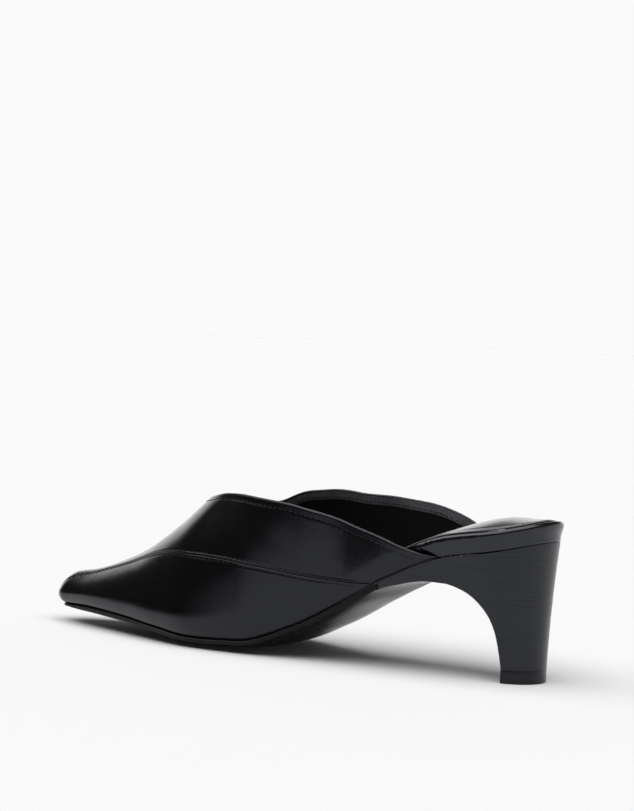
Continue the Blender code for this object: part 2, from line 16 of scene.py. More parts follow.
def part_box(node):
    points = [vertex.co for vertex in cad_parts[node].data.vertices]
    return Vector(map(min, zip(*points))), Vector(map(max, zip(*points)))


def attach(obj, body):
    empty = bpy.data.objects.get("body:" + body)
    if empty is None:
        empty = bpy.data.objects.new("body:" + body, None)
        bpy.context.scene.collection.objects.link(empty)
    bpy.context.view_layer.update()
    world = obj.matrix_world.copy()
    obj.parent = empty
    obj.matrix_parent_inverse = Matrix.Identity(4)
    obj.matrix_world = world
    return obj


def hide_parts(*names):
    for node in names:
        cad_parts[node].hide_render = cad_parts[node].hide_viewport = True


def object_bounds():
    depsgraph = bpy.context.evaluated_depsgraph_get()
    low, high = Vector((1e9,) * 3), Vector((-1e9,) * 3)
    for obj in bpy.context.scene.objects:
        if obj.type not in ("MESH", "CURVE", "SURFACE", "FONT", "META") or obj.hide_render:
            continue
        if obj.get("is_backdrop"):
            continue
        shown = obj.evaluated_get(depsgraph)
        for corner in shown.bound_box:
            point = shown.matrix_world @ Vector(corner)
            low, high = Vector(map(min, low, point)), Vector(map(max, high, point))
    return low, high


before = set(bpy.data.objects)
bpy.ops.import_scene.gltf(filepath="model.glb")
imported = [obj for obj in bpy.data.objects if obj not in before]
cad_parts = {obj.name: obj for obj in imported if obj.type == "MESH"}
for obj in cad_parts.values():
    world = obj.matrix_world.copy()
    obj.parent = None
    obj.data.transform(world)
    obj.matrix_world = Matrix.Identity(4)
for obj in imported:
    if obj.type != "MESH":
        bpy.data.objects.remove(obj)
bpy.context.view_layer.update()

print("frame nodes:", sorted(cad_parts))

# %% [markdown]
# A shoe is drawn on a last, so every place on it is told by u, the distance back from the toe tip
# of the last, and not by X. The tables below are the same sections that the solids were made from:
# each row is a share of the length, and the other columns are shares of a named size.

# %% Sizes of the last
SHOE_LENGTH = 0.264
BALL_WIDTH = 0.0765
SEAT_RISE = 0.0584
NOSE_ROUND = 0.0068
SEAT_ROUND = 0.0252
TOE_TOP = 0.0090
THROAT = 0.328 * SHOE_LENGTH
WING_END = 0.837 * SHOE_LENGTH
HEEL_FRONT = 0.7242 * SHOE_LENGTH
UPPER_WALL = 0.0018
SOLE_THICK = 0.0030
CLEARANCE = 0.0003
MM = 0.001

LAST = np.array([
    # share  height   near    far
    (0.000, 0.1445, 0.0931, 0.0757),
    (0.031, 0.1479, 0.1382, 0.1255),
    (0.098, 0.1590, 0.2257, 0.2300),
    (0.196, 0.1446, 0.3295, 0.3630),
    (0.294, 0.1087, 0.4227, 0.4532),
    (0.373, 0.0805, 0.4678, 0.4802),
    (0.471, 0.0997, 0.4480, 0.4350),
    (0.569, 0.2541, 0.3880, 0.3304),
    (0.667, 0.5049, 0.3440, 0.2640),
    (0.745, 0.7059, 0.3500, 0.3040),
    (0.843, 0.8931, 0.3464, 0.3353),
    (0.941, 0.9764, 0.3357, 0.3288),
    (1.000, 1.0508, 0.3299, 0.3214)])

RIDGE = np.array([
    # share  height   shift
    (0.000, 0.3670, -0.030),
    (0.030, 0.4123, -0.032),
    (0.080, 0.4610, -0.036),
    (0.150, 0.5747, -0.038),
    (0.200, 0.6857, -0.034),
    (0.250, 0.8430, -0.028),
    (0.300, 1.0248, -0.020),
    (0.335, 1.1697, -0.014),
    (0.420, 1.5197, 0.000),
    (0.550, 1.9962, 0.000),
    (0.700, 2.3363, 0.000),
    (0.900, 2.3972, 0.000)])

FORM = np.array([
    # share swell  belly  square
    (0.00, 0.039, 0.065, 1.50),
    (0.05, 0.031, 0.072, 1.50),
    (0.20, 0.037, 0.105, 1.60),
    (0.35, 0.042, 0.131, 1.80),
    (0.50, 0.037, 0.144, 1.90),
    (0.70, 0.021, 0.144, 2.00),
    (0.90, 0.013, 0.131, 2.10)])

TOPLINE = np.array([
    # share   near   far
    (0.3280, 1.043, 1.043),
    (0.3345, 1.055, 1.045),
    (0.3547, 1.077, 1.032),
    (0.3653, 1.093, 1.022),
    (0.3998, 1.125, 1.024),
    (0.4170, 1.127, 1.060),
    (0.4346, 1.126, 1.098),
    (0.4653, 1.114, 1.130),
    (0.4997, 1.076, 1.120),
    (0.5292, 1.011, 1.079),
    (0.5752, 0.889, 0.974),
    (0.6246, 0.726, 0.851),
    (0.6752, 0.527, 0.705),
    (0.7285, 0.323, 0.534),
    (0.7757, 0.150, 0.363),
    (0.8068, 0.052, 0.229),
    (0.8230, 0.024, 0.134),
    (0.8370, 0.008, 0.020)])

SEAM = np.array([
    # share   turn
    (0.0000, 0.100),
    (0.0040, 0.230),
    (0.0085, 0.360),
    (0.0162, 0.520),
    (0.0316, 0.600),
    (0.0509, 0.645),
    (0.0700, 0.668),
    (0.1037, 0.675),
    (0.1540, 0.640),
    (0.2088, 0.585),
    (0.2411, 0.530),
    (0.2918, 0.440),
    (0.3392, 0.358),
    (0.3783, 0.305),
    (0.4423, 0.231),
    (0.4941, 0.179),
    (0.5417, 0.123),
    (0.5885, 0.069),
    (0.6343, 0.014),
    (0.6645, -0.290),
    (0.6934, -0.683),
    (0.7200, -1.000)])

print("last:", SHOE_LENGTH / MM, "mm long,", BALL_WIDTH / MM, "mm across the ball")

# %% [markdown]
# A smooth curve through a table must not swing past its points, or a topline drawn with it would
# ripple. The monotone cubic below keeps between its neighbours. From it come the height of the
# last's edge, its half widths, and any point of the upper's wall, which swells out past the edge
# and closes over the foot in a rounded section.

# %% The shape of the last
def curve(table, column, at):
    """Monotone cubic through one column of a table, read by its first column."""
    xs, ys = table[:, 0], table[:, column]
    at = np.clip(np.asarray(at, float), xs[0], xs[-1])
    step = np.diff(xs)
    rise = np.diff(ys) / step
    slope = np.zeros(len(xs))
    w1, w2 = 2 * step[1:] + step[:-1], step[1:] + 2 * step[:-1]
    same = rise[:-1] * rise[1:] > 0
    safe1, safe2 = np.where(same, rise[:-1], 1.0), np.where(same, rise[1:], 1.0)
    slope[1:-1] = np.where(same, (w1 + w2) / (w1 / safe1 + w2 / safe2), 0.0)
    slope[0] = ((2 * step[0] + step[1]) * rise[0] - step[0] * rise[1]) / (step[0] + step[1])
    slope[-1] = ((2 * step[-1] + step[-2]) * rise[-1] - step[-1] * rise[-2]) / (step[-1] + step[-2])
    for end in (0, -1):
        if slope[end] * rise[end] <= 0:
            slope[end] = 0.0
    k = np.clip(np.searchsorted(xs, at, side="right") - 1, 0, len(xs) - 2)
    t = (at - xs[k]) / step[k]
    start = (2 * t**3 - 3 * t**2 + 1) * ys[k] + (t**3 - 2 * t**2 + t) * step[k] * slope[k]
    return start + (3 * t**2 - 2 * t**3) * ys[k + 1] + (t**3 - t**2) * step[k] * slope[k + 1]


def ease(value):
    """Smooth 0 to 1 ramp."""
    value = np.clip(value, 0.0, 1.0)
    return value * value * (3.0 - 2.0 * value)


def last_height(u):
    return SEAT_RISE * curve(LAST, 1, u / SHOE_LENGTH)


def half_width(u, side):
    """Half width of the last's outline; side is -1 near, 1 far."""
    width = BALL_WIDTH * curve(LAST, 2 if side < 0 else 3, u / SHOE_LENGTH)
    nose = np.clip(1 - u / NOSE_ROUND, 0, 1)
    seat = np.clip((u - (SHOE_LENGTH - SEAT_ROUND)) / SEAT_ROUND, 0, 1)
    return width * np.sqrt(np.clip(1 - nose**2, 0, 1)) * np.sqrt(np.clip(1 - seat**2, 0, 1))


def wall_point(u, turn, side):
    """Outer face of the upper. A turn of -1 is the outline, 0 the widest line, 1 the ridge."""
    u, turn = np.broadcast_arrays(np.asarray(u, float), np.asarray(turn, float))
    share = u / SHOE_LENGTH
    ridge_u = np.hypot(u, TOE_TOP)
    ridge_z = SEAT_RISE * curve(RIDGE, 1, ridge_u / SHOE_LENGTH)
    ridge_y = BALL_WIDTH * curve(RIDGE, 2, ridge_u / SHOE_LENGTH)
    dx, dy = u - ridge_u, side * half_width(u, side) - ridge_y
    reach = np.hypot(dx, dy)
    swell = BALL_WIDTH * curve(FORM, 1, share)
    belly = BALL_WIDTH * curve(FORM, 2, share)
    power = 2.0 / curve(FORM, 3, share)
    belly_z = last_height(u) + belly
    angle = np.clip(turn, 0, 1) * np.pi / 2
    cosine = np.where(turn >= 1, 0.0, np.cos(angle))
    low = np.clip(-turn, 0, 1)
    out = np.where(turn >= 0, (reach + swell) * cosine**power, reach + swell * (1 - low**2))
    above = belly_z + (ridge_z - belly_z) * np.sin(angle)**power
    z = np.where(turn >= 0, above, belly_z - belly * low)
    return np.stack([ridge_u + dx / reach * out, ridge_y + dy / reach * out, z], -1)


def relaxed(values, reach):
    """Values of an even line, averaged over a bell of some samples; the ends stay put."""
    pad = 4 * reach
    steps = np.arange(-pad, pad + 1)
    bell = np.exp(-0.5 * (steps / reach)**2)
    long = np.pad(values, pad, mode="reflect", reflect_type="odd")
    return np.convolve(long, bell / bell.sum(), mode="valid")


EDGE_RELAX = 12
SEAM_RELAX = 6
SEAM_BY_HEIGHT = 0.28

edge_shares = np.linspace(TOPLINE[0, 0], TOPLINE[-1, 0], 401)
edge_heights = {side: SEAT_RISE * relaxed(curve(TOPLINE, column, edge_shares), EDGE_RELAX)
                for side, column in ((-1, 1), (1, 2))}


def top_turn(u, side):
    """Turn at which the wall ends: the ridge before the throat, the edge of the opening behind."""
    share = u / SHOE_LENGTH
    height = np.interp(share, edge_shares, edge_heights[side])
    belly = BALL_WIDTH * curve(FORM, 2, share)
    ridge = SEAT_RISE * curve(RIDGE, 1, np.hypot(u, TOE_TOP) / SHOE_LENGTH) - last_height(u)
    part = np.clip((height - belly) / (ridge - belly), 0, 1)
    above = np.arcsin(part**(curve(FORM, 3, share) / 2)) * 2 / np.pi
    cut = np.where(height >= belly, above, height / belly - 1)
    return np.where(u <= THROAT, 1.0, cut)


seam_u = np.linspace(0, SEAM[-1, 0], 401) * SHOE_LENGTH
seam_t = curve(SEAM, 1, seam_u / SHOE_LENGTH)
knots = SEAM[SEAM[:, 0] > SEAM_BY_HEIGHT]
knot_u = knots[:, 0] * SHOE_LENGTH
rises = wall_point(knot_u, knots[:, 1], -1)[:, 2] - last_height(knot_u)
by_height = np.column_stack([knots[:, 0], rises])
behind_ball = np.flatnonzero(seam_u > knot_u[0])
heights = relaxed(curve(by_height, 1, seam_u[behind_ball] / SHOE_LENGTH), SEAM_RELAX)
turns = np.linspace(-1, 1, 401)
for i, height in zip(behind_ball, heights):
    section = wall_point(seam_u[i], turns, -1)[:, 2] - last_height(seam_u[i])
    seam_t[i] = np.interp(height, section, turns)


def seam_turn(u):
    """Turn of the sewn line. Behind the ball it is read by height, where turns bunch up."""
    return np.interp(u, seam_u, seam_t)


tip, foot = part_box("outsole")[0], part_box("top_piece")
TO_FRAME = np.array([-tip.x, -(foot[0].y + foot[1].y) / 2, 0.0])
print("u is X plus", round(TO_FRAME[0] / MM, 2), "mm; side shift", round(TO_FRAME[1] / MM, 2), "mm")

# %% [markdown]
# Meshes here are grids worked out with numpy and handed to Blender in one go, which is far quicker
# than editing operators for a hundred thousand faces. One helper makes a closed object with its
# faces turned out. Another shades it smooth, lets it ride on the shoe's only body, and hides the
# solid that it stands for.

# %% Helpers for pieces
def closed_object(name, points, faces):
    """A mesh object in the scene; all faces of its closed mesh are turned to face out."""
    mesh = bpy.data.meshes.new(name)
    mesh.from_pydata(np.asarray(points).tolist(), [], [list(map(int, f)) for f in faces])
    work = bmesh.new()
    work.from_mesh(mesh)
    bmesh.ops.recalc_face_normals(work, faces=work.faces)
    work.to_mesh(mesh)
    work.free()
    item = bpy.data.objects.new(name, mesh)
    bpy.context.scene.collection.objects.link(item)
    return item


def piece(name, points, faces, materials, stands_for=None, face_slots=None):
    """Make a mesh object from points in last coordinates and hang it on the shoe."""
    item = closed_object(name, np.asarray(points) - TO_FRAME, faces)
    mesh = item.data
    for material in materials:
        mesh.materials.append(material)
    if face_slots is not None:
        mesh.polygons.foreach_set("material_index", np.asarray(face_slots, np.int32))
    mesh.polygons.foreach_set("use_smooth", np.ones(len(mesh.polygons), bool))
    mesh.update()
    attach(item, "root")
    if stands_for:
        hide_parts(stands_for)
    print(name, "has", sum(len(f) - 2 for f in faces), "triangles")
    return item


def tube_faces(start, rings, size):
    """Quads between closed rings of points that follow one another."""
    faces = []
    for n in range(rings - 1):
        for j in range(size):
            a, b = start + n * size + j, start + n * size + (j + 1) % size
            faces.append([a, b, b + size, a + size])
    return faces


def unit(vectors):
    """Vectors brought to length 1."""
    return vectors / np.linalg.norm(vectors, axis=-1, keepdims=True)


def run_length(line):
    """Distance gone along a polyline at each of its points."""
    return np.concatenate([[0], np.cumsum(np.linalg.norm(np.diff(line, axis=0), axis=1))])


def grid_normals(points, quads):
    """Normals of the points of a mesh of quads, weighted by area."""
    quads = np.asarray(quads)
    a, b, c, d = (points[quads[:, j]] for j in range(4))
    face = np.cross(c - a, d - b)
    normals = np.zeros_like(points)
    for j in range(4):
        np.add.at(normals, quads[:, j], face)
    return normals / np.maximum(np.linalg.norm(normals, axis=1), 1e-12)[:, None]


def line_distance(points, line):
    """Distance of each point to a polyline."""
    a, b = line[:-1], line[1:]
    ab = b - a
    size = np.maximum((ab**2).sum(1), 1e-18)
    best = np.full(len(points), 1e9)
    for start in range(0, len(points), 4000):
        p = points[start:start + 4000, None, :]
        t = np.clip(((p - a) * ab).sum(2) / size, 0, 1)
        gap = p - a - t[..., None] * ab
        best[start:start + 4000] = np.sqrt((gap**2).sum(2).min(1))
    return best


def bump_profile(distance, centre, half):
    """A smooth hump of height 1 around a distance."""
    return ease(1 - np.abs(distance - centre) / half)


# %% [markdown]
# Smooth leather is never a perfect mirror. Its pores and hair-fine creases break up the edge of
# every reflection, and handling leaves faint patches that shine a little less. Both effects are
# used by several pieces, so each is a node group: built once, then placed in each material with
# its own sizes. The groups put out a height and masks only, and the shader stays in the material.

# %% Node groups shared by the leathers
GRAIN_SOCKETS = [kind + part for kind in ("Pore", "Crease", "Wave") for part in (" Size", " Depth")]


def new_group(name, inputs, outputs):
    """A shader node group with float sockets; inputs are pairs of name and value."""
    group = bpy.data.node_groups.new(name, "ShaderNodeTree")
    for label, value in inputs:
        socket = group.interface.new_socket(label, in_out="INPUT", socket_type="NodeSocketFloat")
        socket.default_value = value
    for label in outputs:
        group.interface.new_socket(label, in_out="OUTPUT", socket_type="NodeSocketFloat")
    return group, group.nodes.new("NodeGroupInput"), group.nodes.new("NodeGroupOutput")


def math_node(tree, operation, first, second=None, clamp=False):
    """A math node whose inputs are sockets or numbers."""
    node = tree.nodes.new("ShaderNodeMath")
    node.operation = operation
    node.use_clamp = clamp
    for index, value in enumerate((first, second)):
        if value is None:
            continue
        if isinstance(value, (int, float)):
            node.inputs[index].default_value = value
        else:
            tree.links.new(value, node.inputs[index])
    return node.outputs[0]


def noise_node(tree, vector, scale, detail=3.0, roughness=0.5, distortion=0.0):
    node = tree.nodes.new("ShaderNodeTexNoise")
    node.inputs["Detail"].default_value = detail
    node.inputs["Roughness"].default_value = roughness
    node.inputs["Distortion"].default_value = distortion
    tree.links.new(vector, node.inputs["Vector"])
    if isinstance(scale, (int, float)):
        node.inputs["Scale"].default_value = scale
    else:
        tree.links.new(scale, node.inputs["Scale"])
    return node.outputs["Fac"]


def stretched_place(tree, stretch=(1.0, 1.0, 1.0), turn=(0.0, 0.0, 0.0), kind="POINT"):
    """Object coordinates, stretched and turned."""
    place = tree.nodes.new("ShaderNodeTexCoord")
    mapping = tree.nodes.new("ShaderNodeMapping")
    mapping.vector_type = kind
    mapping.inputs["Scale"].default_value = stretch
    mapping.inputs["Rotation"].default_value = turn
    tree.links.new(place.outputs["Object"], mapping.inputs["Vector"])
    return mapping.outputs["Vector"]


def grain_group():
    """Pores, hair creases and slow waviness of finished leather, as one height."""
    group, given, result = new_group(
        "leather_grain", zip(GRAIN_SOCKETS, (0.0007, 0.5, 0.004, 0.5, 0.02, 0.5)), ["Height"])
    place = stretched_place(group)
    pore_scale = math_node(group, "DIVIDE", 1.0, given.outputs["Pore Size"])
    cells = group.nodes.new("ShaderNodeTexVoronoi")
    cells.feature = "SMOOTH_F1"
    cells.inputs["Smoothness"].default_value = 0.6
    group.links.new(place, cells.inputs["Vector"])
    group.links.new(pore_scale, cells.inputs["Scale"])
    pores = math_node(group, "MULTIPLY", cells.outputs["Distance"], given.outputs["Pore Depth"])
    creased = stretched_place(group, (3.0, 1.0, 1.0), (0.0, math.radians(42), 0.0), "TEXTURE")
    crease_scale = math_node(group, "DIVIDE", 1.0, given.outputs["Crease Size"])
    creases = noise_node(group, creased, crease_scale, 4.0, 0.62, 0.6)
    creases = math_node(group, "MULTIPLY", creases, given.outputs["Crease Depth"])
    wave_scale = math_node(group, "DIVIDE", 1.0, given.outputs["Wave Size"])
    waves = noise_node(group, place, wave_scale, 1.0, 0.4)
    waves = math_node(group, "MULTIPLY", waves, given.outputs["Wave Depth"])
    total = math_node(group, "ADD", math_node(group, "ADD", pores, creases), waves)
    group.links.new(total, result.inputs["Height"])
    return group


def handling_group():
    """Patches where fingers and boxes have dulled the finish, from 0 to 1."""
    group, given, result = new_group(
        "handling", [("Patch Size", 0.03), ("Contrast", 2.0)], ["Dull"])
    place = stretched_place(group)
    scale = math_node(group, "DIVIDE", 1.0, given.outputs["Patch Size"])
    patches = noise_node(group, place, scale, 5.0, 0.65, 0.4)
    centred = math_node(group, "SUBTRACT", patches, 0.5)
    spread = math_node(group, "MULTIPLY", centred, given.outputs["Contrast"])
    dull = math_node(group, "ADD", spread, 0.5, clamp=True)
    group.links.new(dull, result.inputs["Dull"])
    return group


grain = grain_group()
handling = handling_group()
print("node groups:", grain.name, handling.name)

# %% [markdown]
# Every finish on this shoe is black, so the materials differ in how they reflect and not in hue.
# One function lays the two groups over a Principled shader: the grain goes through a Bump node, and
# the dull patches lift the roughness and the colour a little. Values that are the same all over,
# such as the cool tint of the gloss, are set on the shader's own sockets.

# %% Materials of the leathers
COOL = (0.86, 0.89, 1.0, 1.0)


def place_group(tree, group, values):
    node = tree.nodes.new("ShaderNodeGroup")
    node.node_tree = group
    for label, value in values.items():
        node.inputs[label].default_value = value
    return node


def between(tree, mask, low, high):
    """A number that goes from low to high with a mask."""
    return math_node(tree, "ADD", math_node(tree, "MULTIPLY", mask, high - low), low)


def tint(tree, mask, first, second):
    node = tree.nodes.new("ShaderNodeMix")
    node.data_type = "RGBA"
    tree.links.new(mask, node.inputs["Factor"])
    node.inputs["A"].default_value = (*first, 1.0)
    node.inputs["B"].default_value = (*second, 1.0)
    return node.outputs["Result"]


def new_material(name):
    material = bpy.data.materials.new(name)
    material.use_nodes = True
    tree = material.node_tree
    return material, tree, tree.nodes["Principled BSDF"]


def drive(tree, shader, colour, roughness, height=None, depth=0.0):
    """Feed the shader a colour, a roughness and, through a bump, a height."""
    tree.links.new(colour, shader.inputs["Base Color"])
    tree.links.new(roughness, shader.inputs["Roughness"])
    if height:
        bump = tree.nodes.new("ShaderNodeBump")
        bump.inputs["Distance"].default_value = depth
        tree.links.new(height, bump.inputs["Height"])
        tree.links.new(bump.outputs["Normal"], shader.inputs["Normal"])


def cool_gloss(shader, ior):
    shader.inputs["IOR"].default_value = ior
    shader.inputs["Specular Tint"].default_value = COOL


def leather(name, dark, light, gloss, dull, ior, grains, depth):
    """Black leather: colour dark to light, roughness gloss to dull, over the handling patches."""
    material, tree, shader = new_material(name)
    marks = place_group(tree, handling, {"Patch Size": 0.03, "Contrast": 2.4}).outputs["Dull"]
    relief = place_group(tree, grain, dict(zip(GRAIN_SOCKETS, grains))).outputs["Height"]
    colour, rough = tint(tree, marks, dark, light), between(tree, marks, gloss, dull)
    drive(tree, shader, colour, rough, relief, depth)
    cool_gloss(shader, ior)
    return material


LEATHERS = [
    # name, dark and light colour, roughness from gloss to dull, IOR,
    # the grain's sizes and depths, the height of its bump in metres
    ("glazed_leather", (0.0012, 0.0012, 0.0014), (0.0024, 0.0024, 0.0027), 0.15, 0.21, 1.43,
     (0.0008, 0.20, 0.0007, 1.0, 0.022, 2.6), 0.00007),
    ("facing_leather", (0.0420, 0.0420, 0.0450), (0.0840, 0.0840, 0.0900), 0.42, 0.55, 1.45,
     (0.0009, 1.0, 0.003, 1.0, 0.02, 1.0), 0.00018),
    ("lining_leather", (0.0012, 0.0012, 0.0013), (0.0020, 0.0020, 0.0022), 0.70, 0.80, 1.25,
     (0.0008, 0.8, 0.004, 0.6, 0.02, 0.6), 0.00008),
    ("sole_leather", (0.0022, 0.0022, 0.0024), (0.0045, 0.0045, 0.0048), 0.20, 0.30, 1.25,
     (0.0011, 0.2, 0.006, 0.5, 0.03, 0.8), 0.00005),
    ("rim_leather", (0.0018, 0.0018, 0.0020), (0.0030, 0.0030, 0.0033), 0.10, 0.16, 1.53,
     (0.0007, 0.15, 0.008, 0.8, 0.016, 2.0), 0.00005),
    ("sock_leather", (0.0120, 0.0120, 0.0128), (0.0190, 0.0190, 0.0204), 0.14, 0.20, 1.6,
     (0.0008, 0.4, 0.004, 0.6, 0.02, 1.0), 0.00005),
    ("edge_leather", (0.0014, 0.0014, 0.0016), (0.0030, 0.0030, 0.0033), 0.36, 0.48, 1.28,
     (0.0006, 0.3, 0.006, 0.4, 0.02, 0.6), 0.00003)]

GLAZED, FACING, LINING, SOLE, RIM, SOCK, EDGE = [leather(*row) for row in LEATHERS]
sock_shader = SOCK.node_tree.nodes["Principled BSDF"]
sock_shader.inputs["Sheen Weight"].default_value = 0.4
sock_shader.inputs["Sheen Roughness"].default_value = 0.35

# %% [markdown]
# The heel is a stack of leather lifts, sanded flush and polished. Only hair-thin lines between the
# lifts are left to see, and fine sanding marks that run level. The height above the ground drives
# both: a noise squeezed flat in Z gives marks of uneven length and strength.

# %% Material of the stacked heel
LIFT_STRETCH = (16.0, 16.0, 950.0)
SANDING_STRETCH = (30.0, 30.0, 3600.0)
LIFT_LEVEL = 0.56
LIFT_SHARPNESS = 9.0


def stacked_heel():
    material, tree, shader = new_material("stacked_lifts")
    marks = place_group(tree, handling, {"Patch Size": 0.025, "Contrast": 2.0}).outputs["Dull"]
    level = noise_node(tree, stretched_place(tree, LIFT_STRETCH), 1.0, 2.0, 0.5)
    line = math_node(tree, "SUBTRACT", level, LIFT_LEVEL)
    line = math_node(tree, "MULTIPLY", line, LIFT_SHARPNESS, clamp=True)
    fine = noise_node(tree, stretched_place(tree, SANDING_STRETCH), 1.0, 2.0, 0.6)
    mix = math_node(tree, "SUBTRACT", math_node(tree, "MULTIPLY", fine, 1.2), 0.25)
    mix = math_node(tree, "SUBTRACT", mix, math_node(tree, "MULTIPLY", line, 0.5), clamp=True)
    rough = math_node(tree, "ADD", between(tree, marks, 0.20, 0.30),
                      math_node(tree, "MULTIPLY", mix, 0.08))
    height = math_node(tree, "SUBTRACT", math_node(tree, "MULTIPLY", fine, 0.5), line)
    colour = tint(tree, mix, (0.0034, 0.0036, 0.0042), (0.0140, 0.0148, 0.0170))
    drive(tree, shader, colour, rough, height, 0.00002)
    cool_gloss(shader, 1.43)
    return material


def plain_rubber():
    material, tree, shader = new_material("top_piece_rubber")
    marks = place_group(tree, handling, {"Patch Size": 0.012, "Contrast": 2.0}).outputs["Dull"]
    speck = noise_node(tree, stretched_place(tree), 2600.0, 2.0, 0.6)
    colour = tint(tree, marks, (0.0018, 0.0019, 0.0022), (0.0036, 0.0038, 0.0043))
    drive(tree, shader, colour, between(tree, marks, 0.24, 0.34), speck, 0.00004)
    cool_gloss(shader, 1.4)
    return material


def two_shades(name, dark, light, rough, spread, scale, detail, roughness):
    """A plain finish for narrow things: two shades and two roughnesses mixed by a fine noise."""
    material, tree, shader = new_material(name)
    speck = noise_node(tree, stretched_place(tree), scale, detail, roughness)
    drive(tree, shader, tint(tree, speck, dark, light),
          between(tree, speck, rough - spread, rough + spread))
    return material, shader


HEEL = stacked_heel()
RUBBER = plain_rubber()
THREAD, thread_shader = two_shades(
    "waxed_thread", (0.0010, 0.0010, 0.0012), (0.0050, 0.0050, 0.0056), 0.51, 0.09,
    9000.0, 1.0, 0.5)
thread_shader.inputs["IOR"].default_value = 1.3
# A lighter grey for the sole's bevel: painted highlight on the light line that the bevel catches.
BEVEL_HIGHLIGHT, _ = two_shades(
    "bevel_painted_highlight", (0.012, 0.012, 0.013), (0.028, 0.028, 0.030), 0.30, 0.06, 700.0, 2.0, 0.6)
# Pure black with no gloss: painted shade for the needle holes and for the seam's ditch.
PAINTED_SHADE, painted_shade_shader = two_shades(
    "needle_hole_painted_shade", (0.0003, 0.0003, 0.0003), (0.0010, 0.0010, 0.0010), 0.90, 0.06, 700.0, 2.0, 0.6)
painted_shade_shader.inputs["Specular IOR Level"].default_value = 0.0
print("materials:", [m.name for m in bpy.data.materials])

# %% [markdown]
# The upper is one closed shell: the glazed outside, a folded edge round the opening, a turned
# facing inside it and the lining below. It is a grid of columns from toe to wing. Within a column
# the rows aren't even: they crowd at fixed distances round the seam and under the topline, because
# grooves half a millimetre wide live there, and thin out on the plain panels.

# %% Rows and columns of the upper
SEAM_STEPS = MM * np.array([0.15, 0.28, 0.42, 0.6, 0.8, 1.0, 1.2, 1.45, 1.8, 2.3, 3.2, 4.5])
EDGE_STEPS = MM * np.array([0.22, 0.45, 0.7, 1.0, 1.25, 1.5, 1.9, 2.3, 2.6, 3.0, 4.0])
FOOT_STEPS = MM * np.array([0.3, 0.6, 1.0, 1.6])
PANEL_ROWS = 20
SIDE_ROWS = 14
LEAST_SPAN = 12.0 * MM
SEAM_MARGIN = 1.2 * MM
SECTION_SAMPLES = 241
APPROACH = 4.5 * MM
LIP = 10.5 * MM


def half_rows(span, inner, outer, count):
    """Distances from the seam outward: close steps at both ends, even ones between."""
    full = max(span, LEAST_SPAN)
    even = np.linspace(inner[-1], full - outer[-1], count + 2)[1:-1]
    return np.concatenate([inner, even, full - outer[::-1], [full]]) * span / full


def section_turns(u, side):
    """Turns of one column's rows, and the length of its section."""
    turns = np.linspace(-1, float(top_turn(u, side)), SECTION_SAMPLES)
    line = wall_point(u, turns, side)
    arcs = run_length(line)
    total = arcs[-1]
    margin = min(SEAM_MARGIN, 0.4 * total)
    seam = np.clip(np.interp(float(seam_turn(u)), turns, arcs), margin, total - margin)
    if side > 0:
        seam += (0.6 * total - seam) * ease(u / (3 * NOSE_ROUND))
    up = seam + half_rows(total - seam, SEAM_STEPS, EDGE_STEPS, PANEL_ROWS)
    down = seam - half_rows(seam, SEAM_STEPS, FOOT_STEPS, SIDE_ROWS)
    rows = np.concatenate([down[::-1], [seam], up])
    return np.interp(rows, arcs, turns), rows, total


def wall_columns():
    nose = NOSE_ROUND * (1 - np.cos(np.linspace(0, np.pi / 2, 29)))
    vamp = np.linspace(NOSE_ROUND, THROAT - APPROACH, 76)[1:]
    approach = np.linspace(THROAT - APPROACH, THROAT, 13)[1:]
    lip = THROAT + LIP * np.linspace(0, 1, 19)[1:]**2
    wing = np.linspace(THROAT + LIP, WING_END, 96)[1:]
    before = len(nose) + len(vamp) + len(approach) - 1
    return np.concatenate([nose, vamp, approach, lip, wing]), before


columns, throat_column = wall_columns()
print("columns of the upper:", len(columns))

# %% [markdown]
# Near and far half share their points along the toe and along the ridge of the vamp, so the shell
# is in one piece there. The list of edge points, from the near wing round the throat to the far
# wing, is kept for the folded edge and for everything that runs beside it.

# %% Base surface of the upper
def base_surface():
    ids = {}
    points = []
    arcs = []
    for side in (-1, 1):
        for i, u in enumerate(columns):
            turns, rows, total = section_turns(u, side)
            line = wall_point(u, turns, side)
            top = len(rows) - 1
            for k in range(top + 1):
                if side > 0 and (i == 0 or (k == top and i <= throat_column)):
                    ids[side, i, k] = ids[-1, i, k]
                    continue
                ids[side, i, k] = len(points)
                points.append(line[k])
                arcs.append((rows[k], total))
    quads = []
    for side in (-1, 1):
        for i in range(len(columns) - 1):
            for k in range(top):
                corners = ((i, k), (i + 1, k), (i + 1, k + 1), (i, k + 1))
                quads.append([ids[side, m, n] for m, n in corners][::-side])
    return np.array(points), np.array(arcs), quads, ids, top


base, base_arcs, base_quads, ids, top_row = base_surface()
last_column = len(columns) - 1
foot_ids = [ids[s, i, 0] for s in (-1, 1) for i in range(last_column + 1)]
near_edge = [ids[-1, i, top_row] for i in range(last_column, throat_column, -1)]
far_edge = [ids[1, i, top_row] for i in range(throat_column, last_column + 1)]
edge_ids = near_edge + far_edge
normals = grid_normals(base, base_quads)
normals[foot_ids, 2] = 0
normals = unit(normals)
print("base surface:", len(base), "points; edge:", len(edge_ids), "points")

# %% [markdown]
# Relief is added as a height along the normals, from the distance to two lines drawn on the wall:
# the seam and the topline. Across the seam lie a ditch where the panels meet, a soft roll on each
# side, and a stitched channel. Along the topline lie the roll of the folded edge, the ditch behind
# it and another channel. At the foot the wall tucks in over the sole.

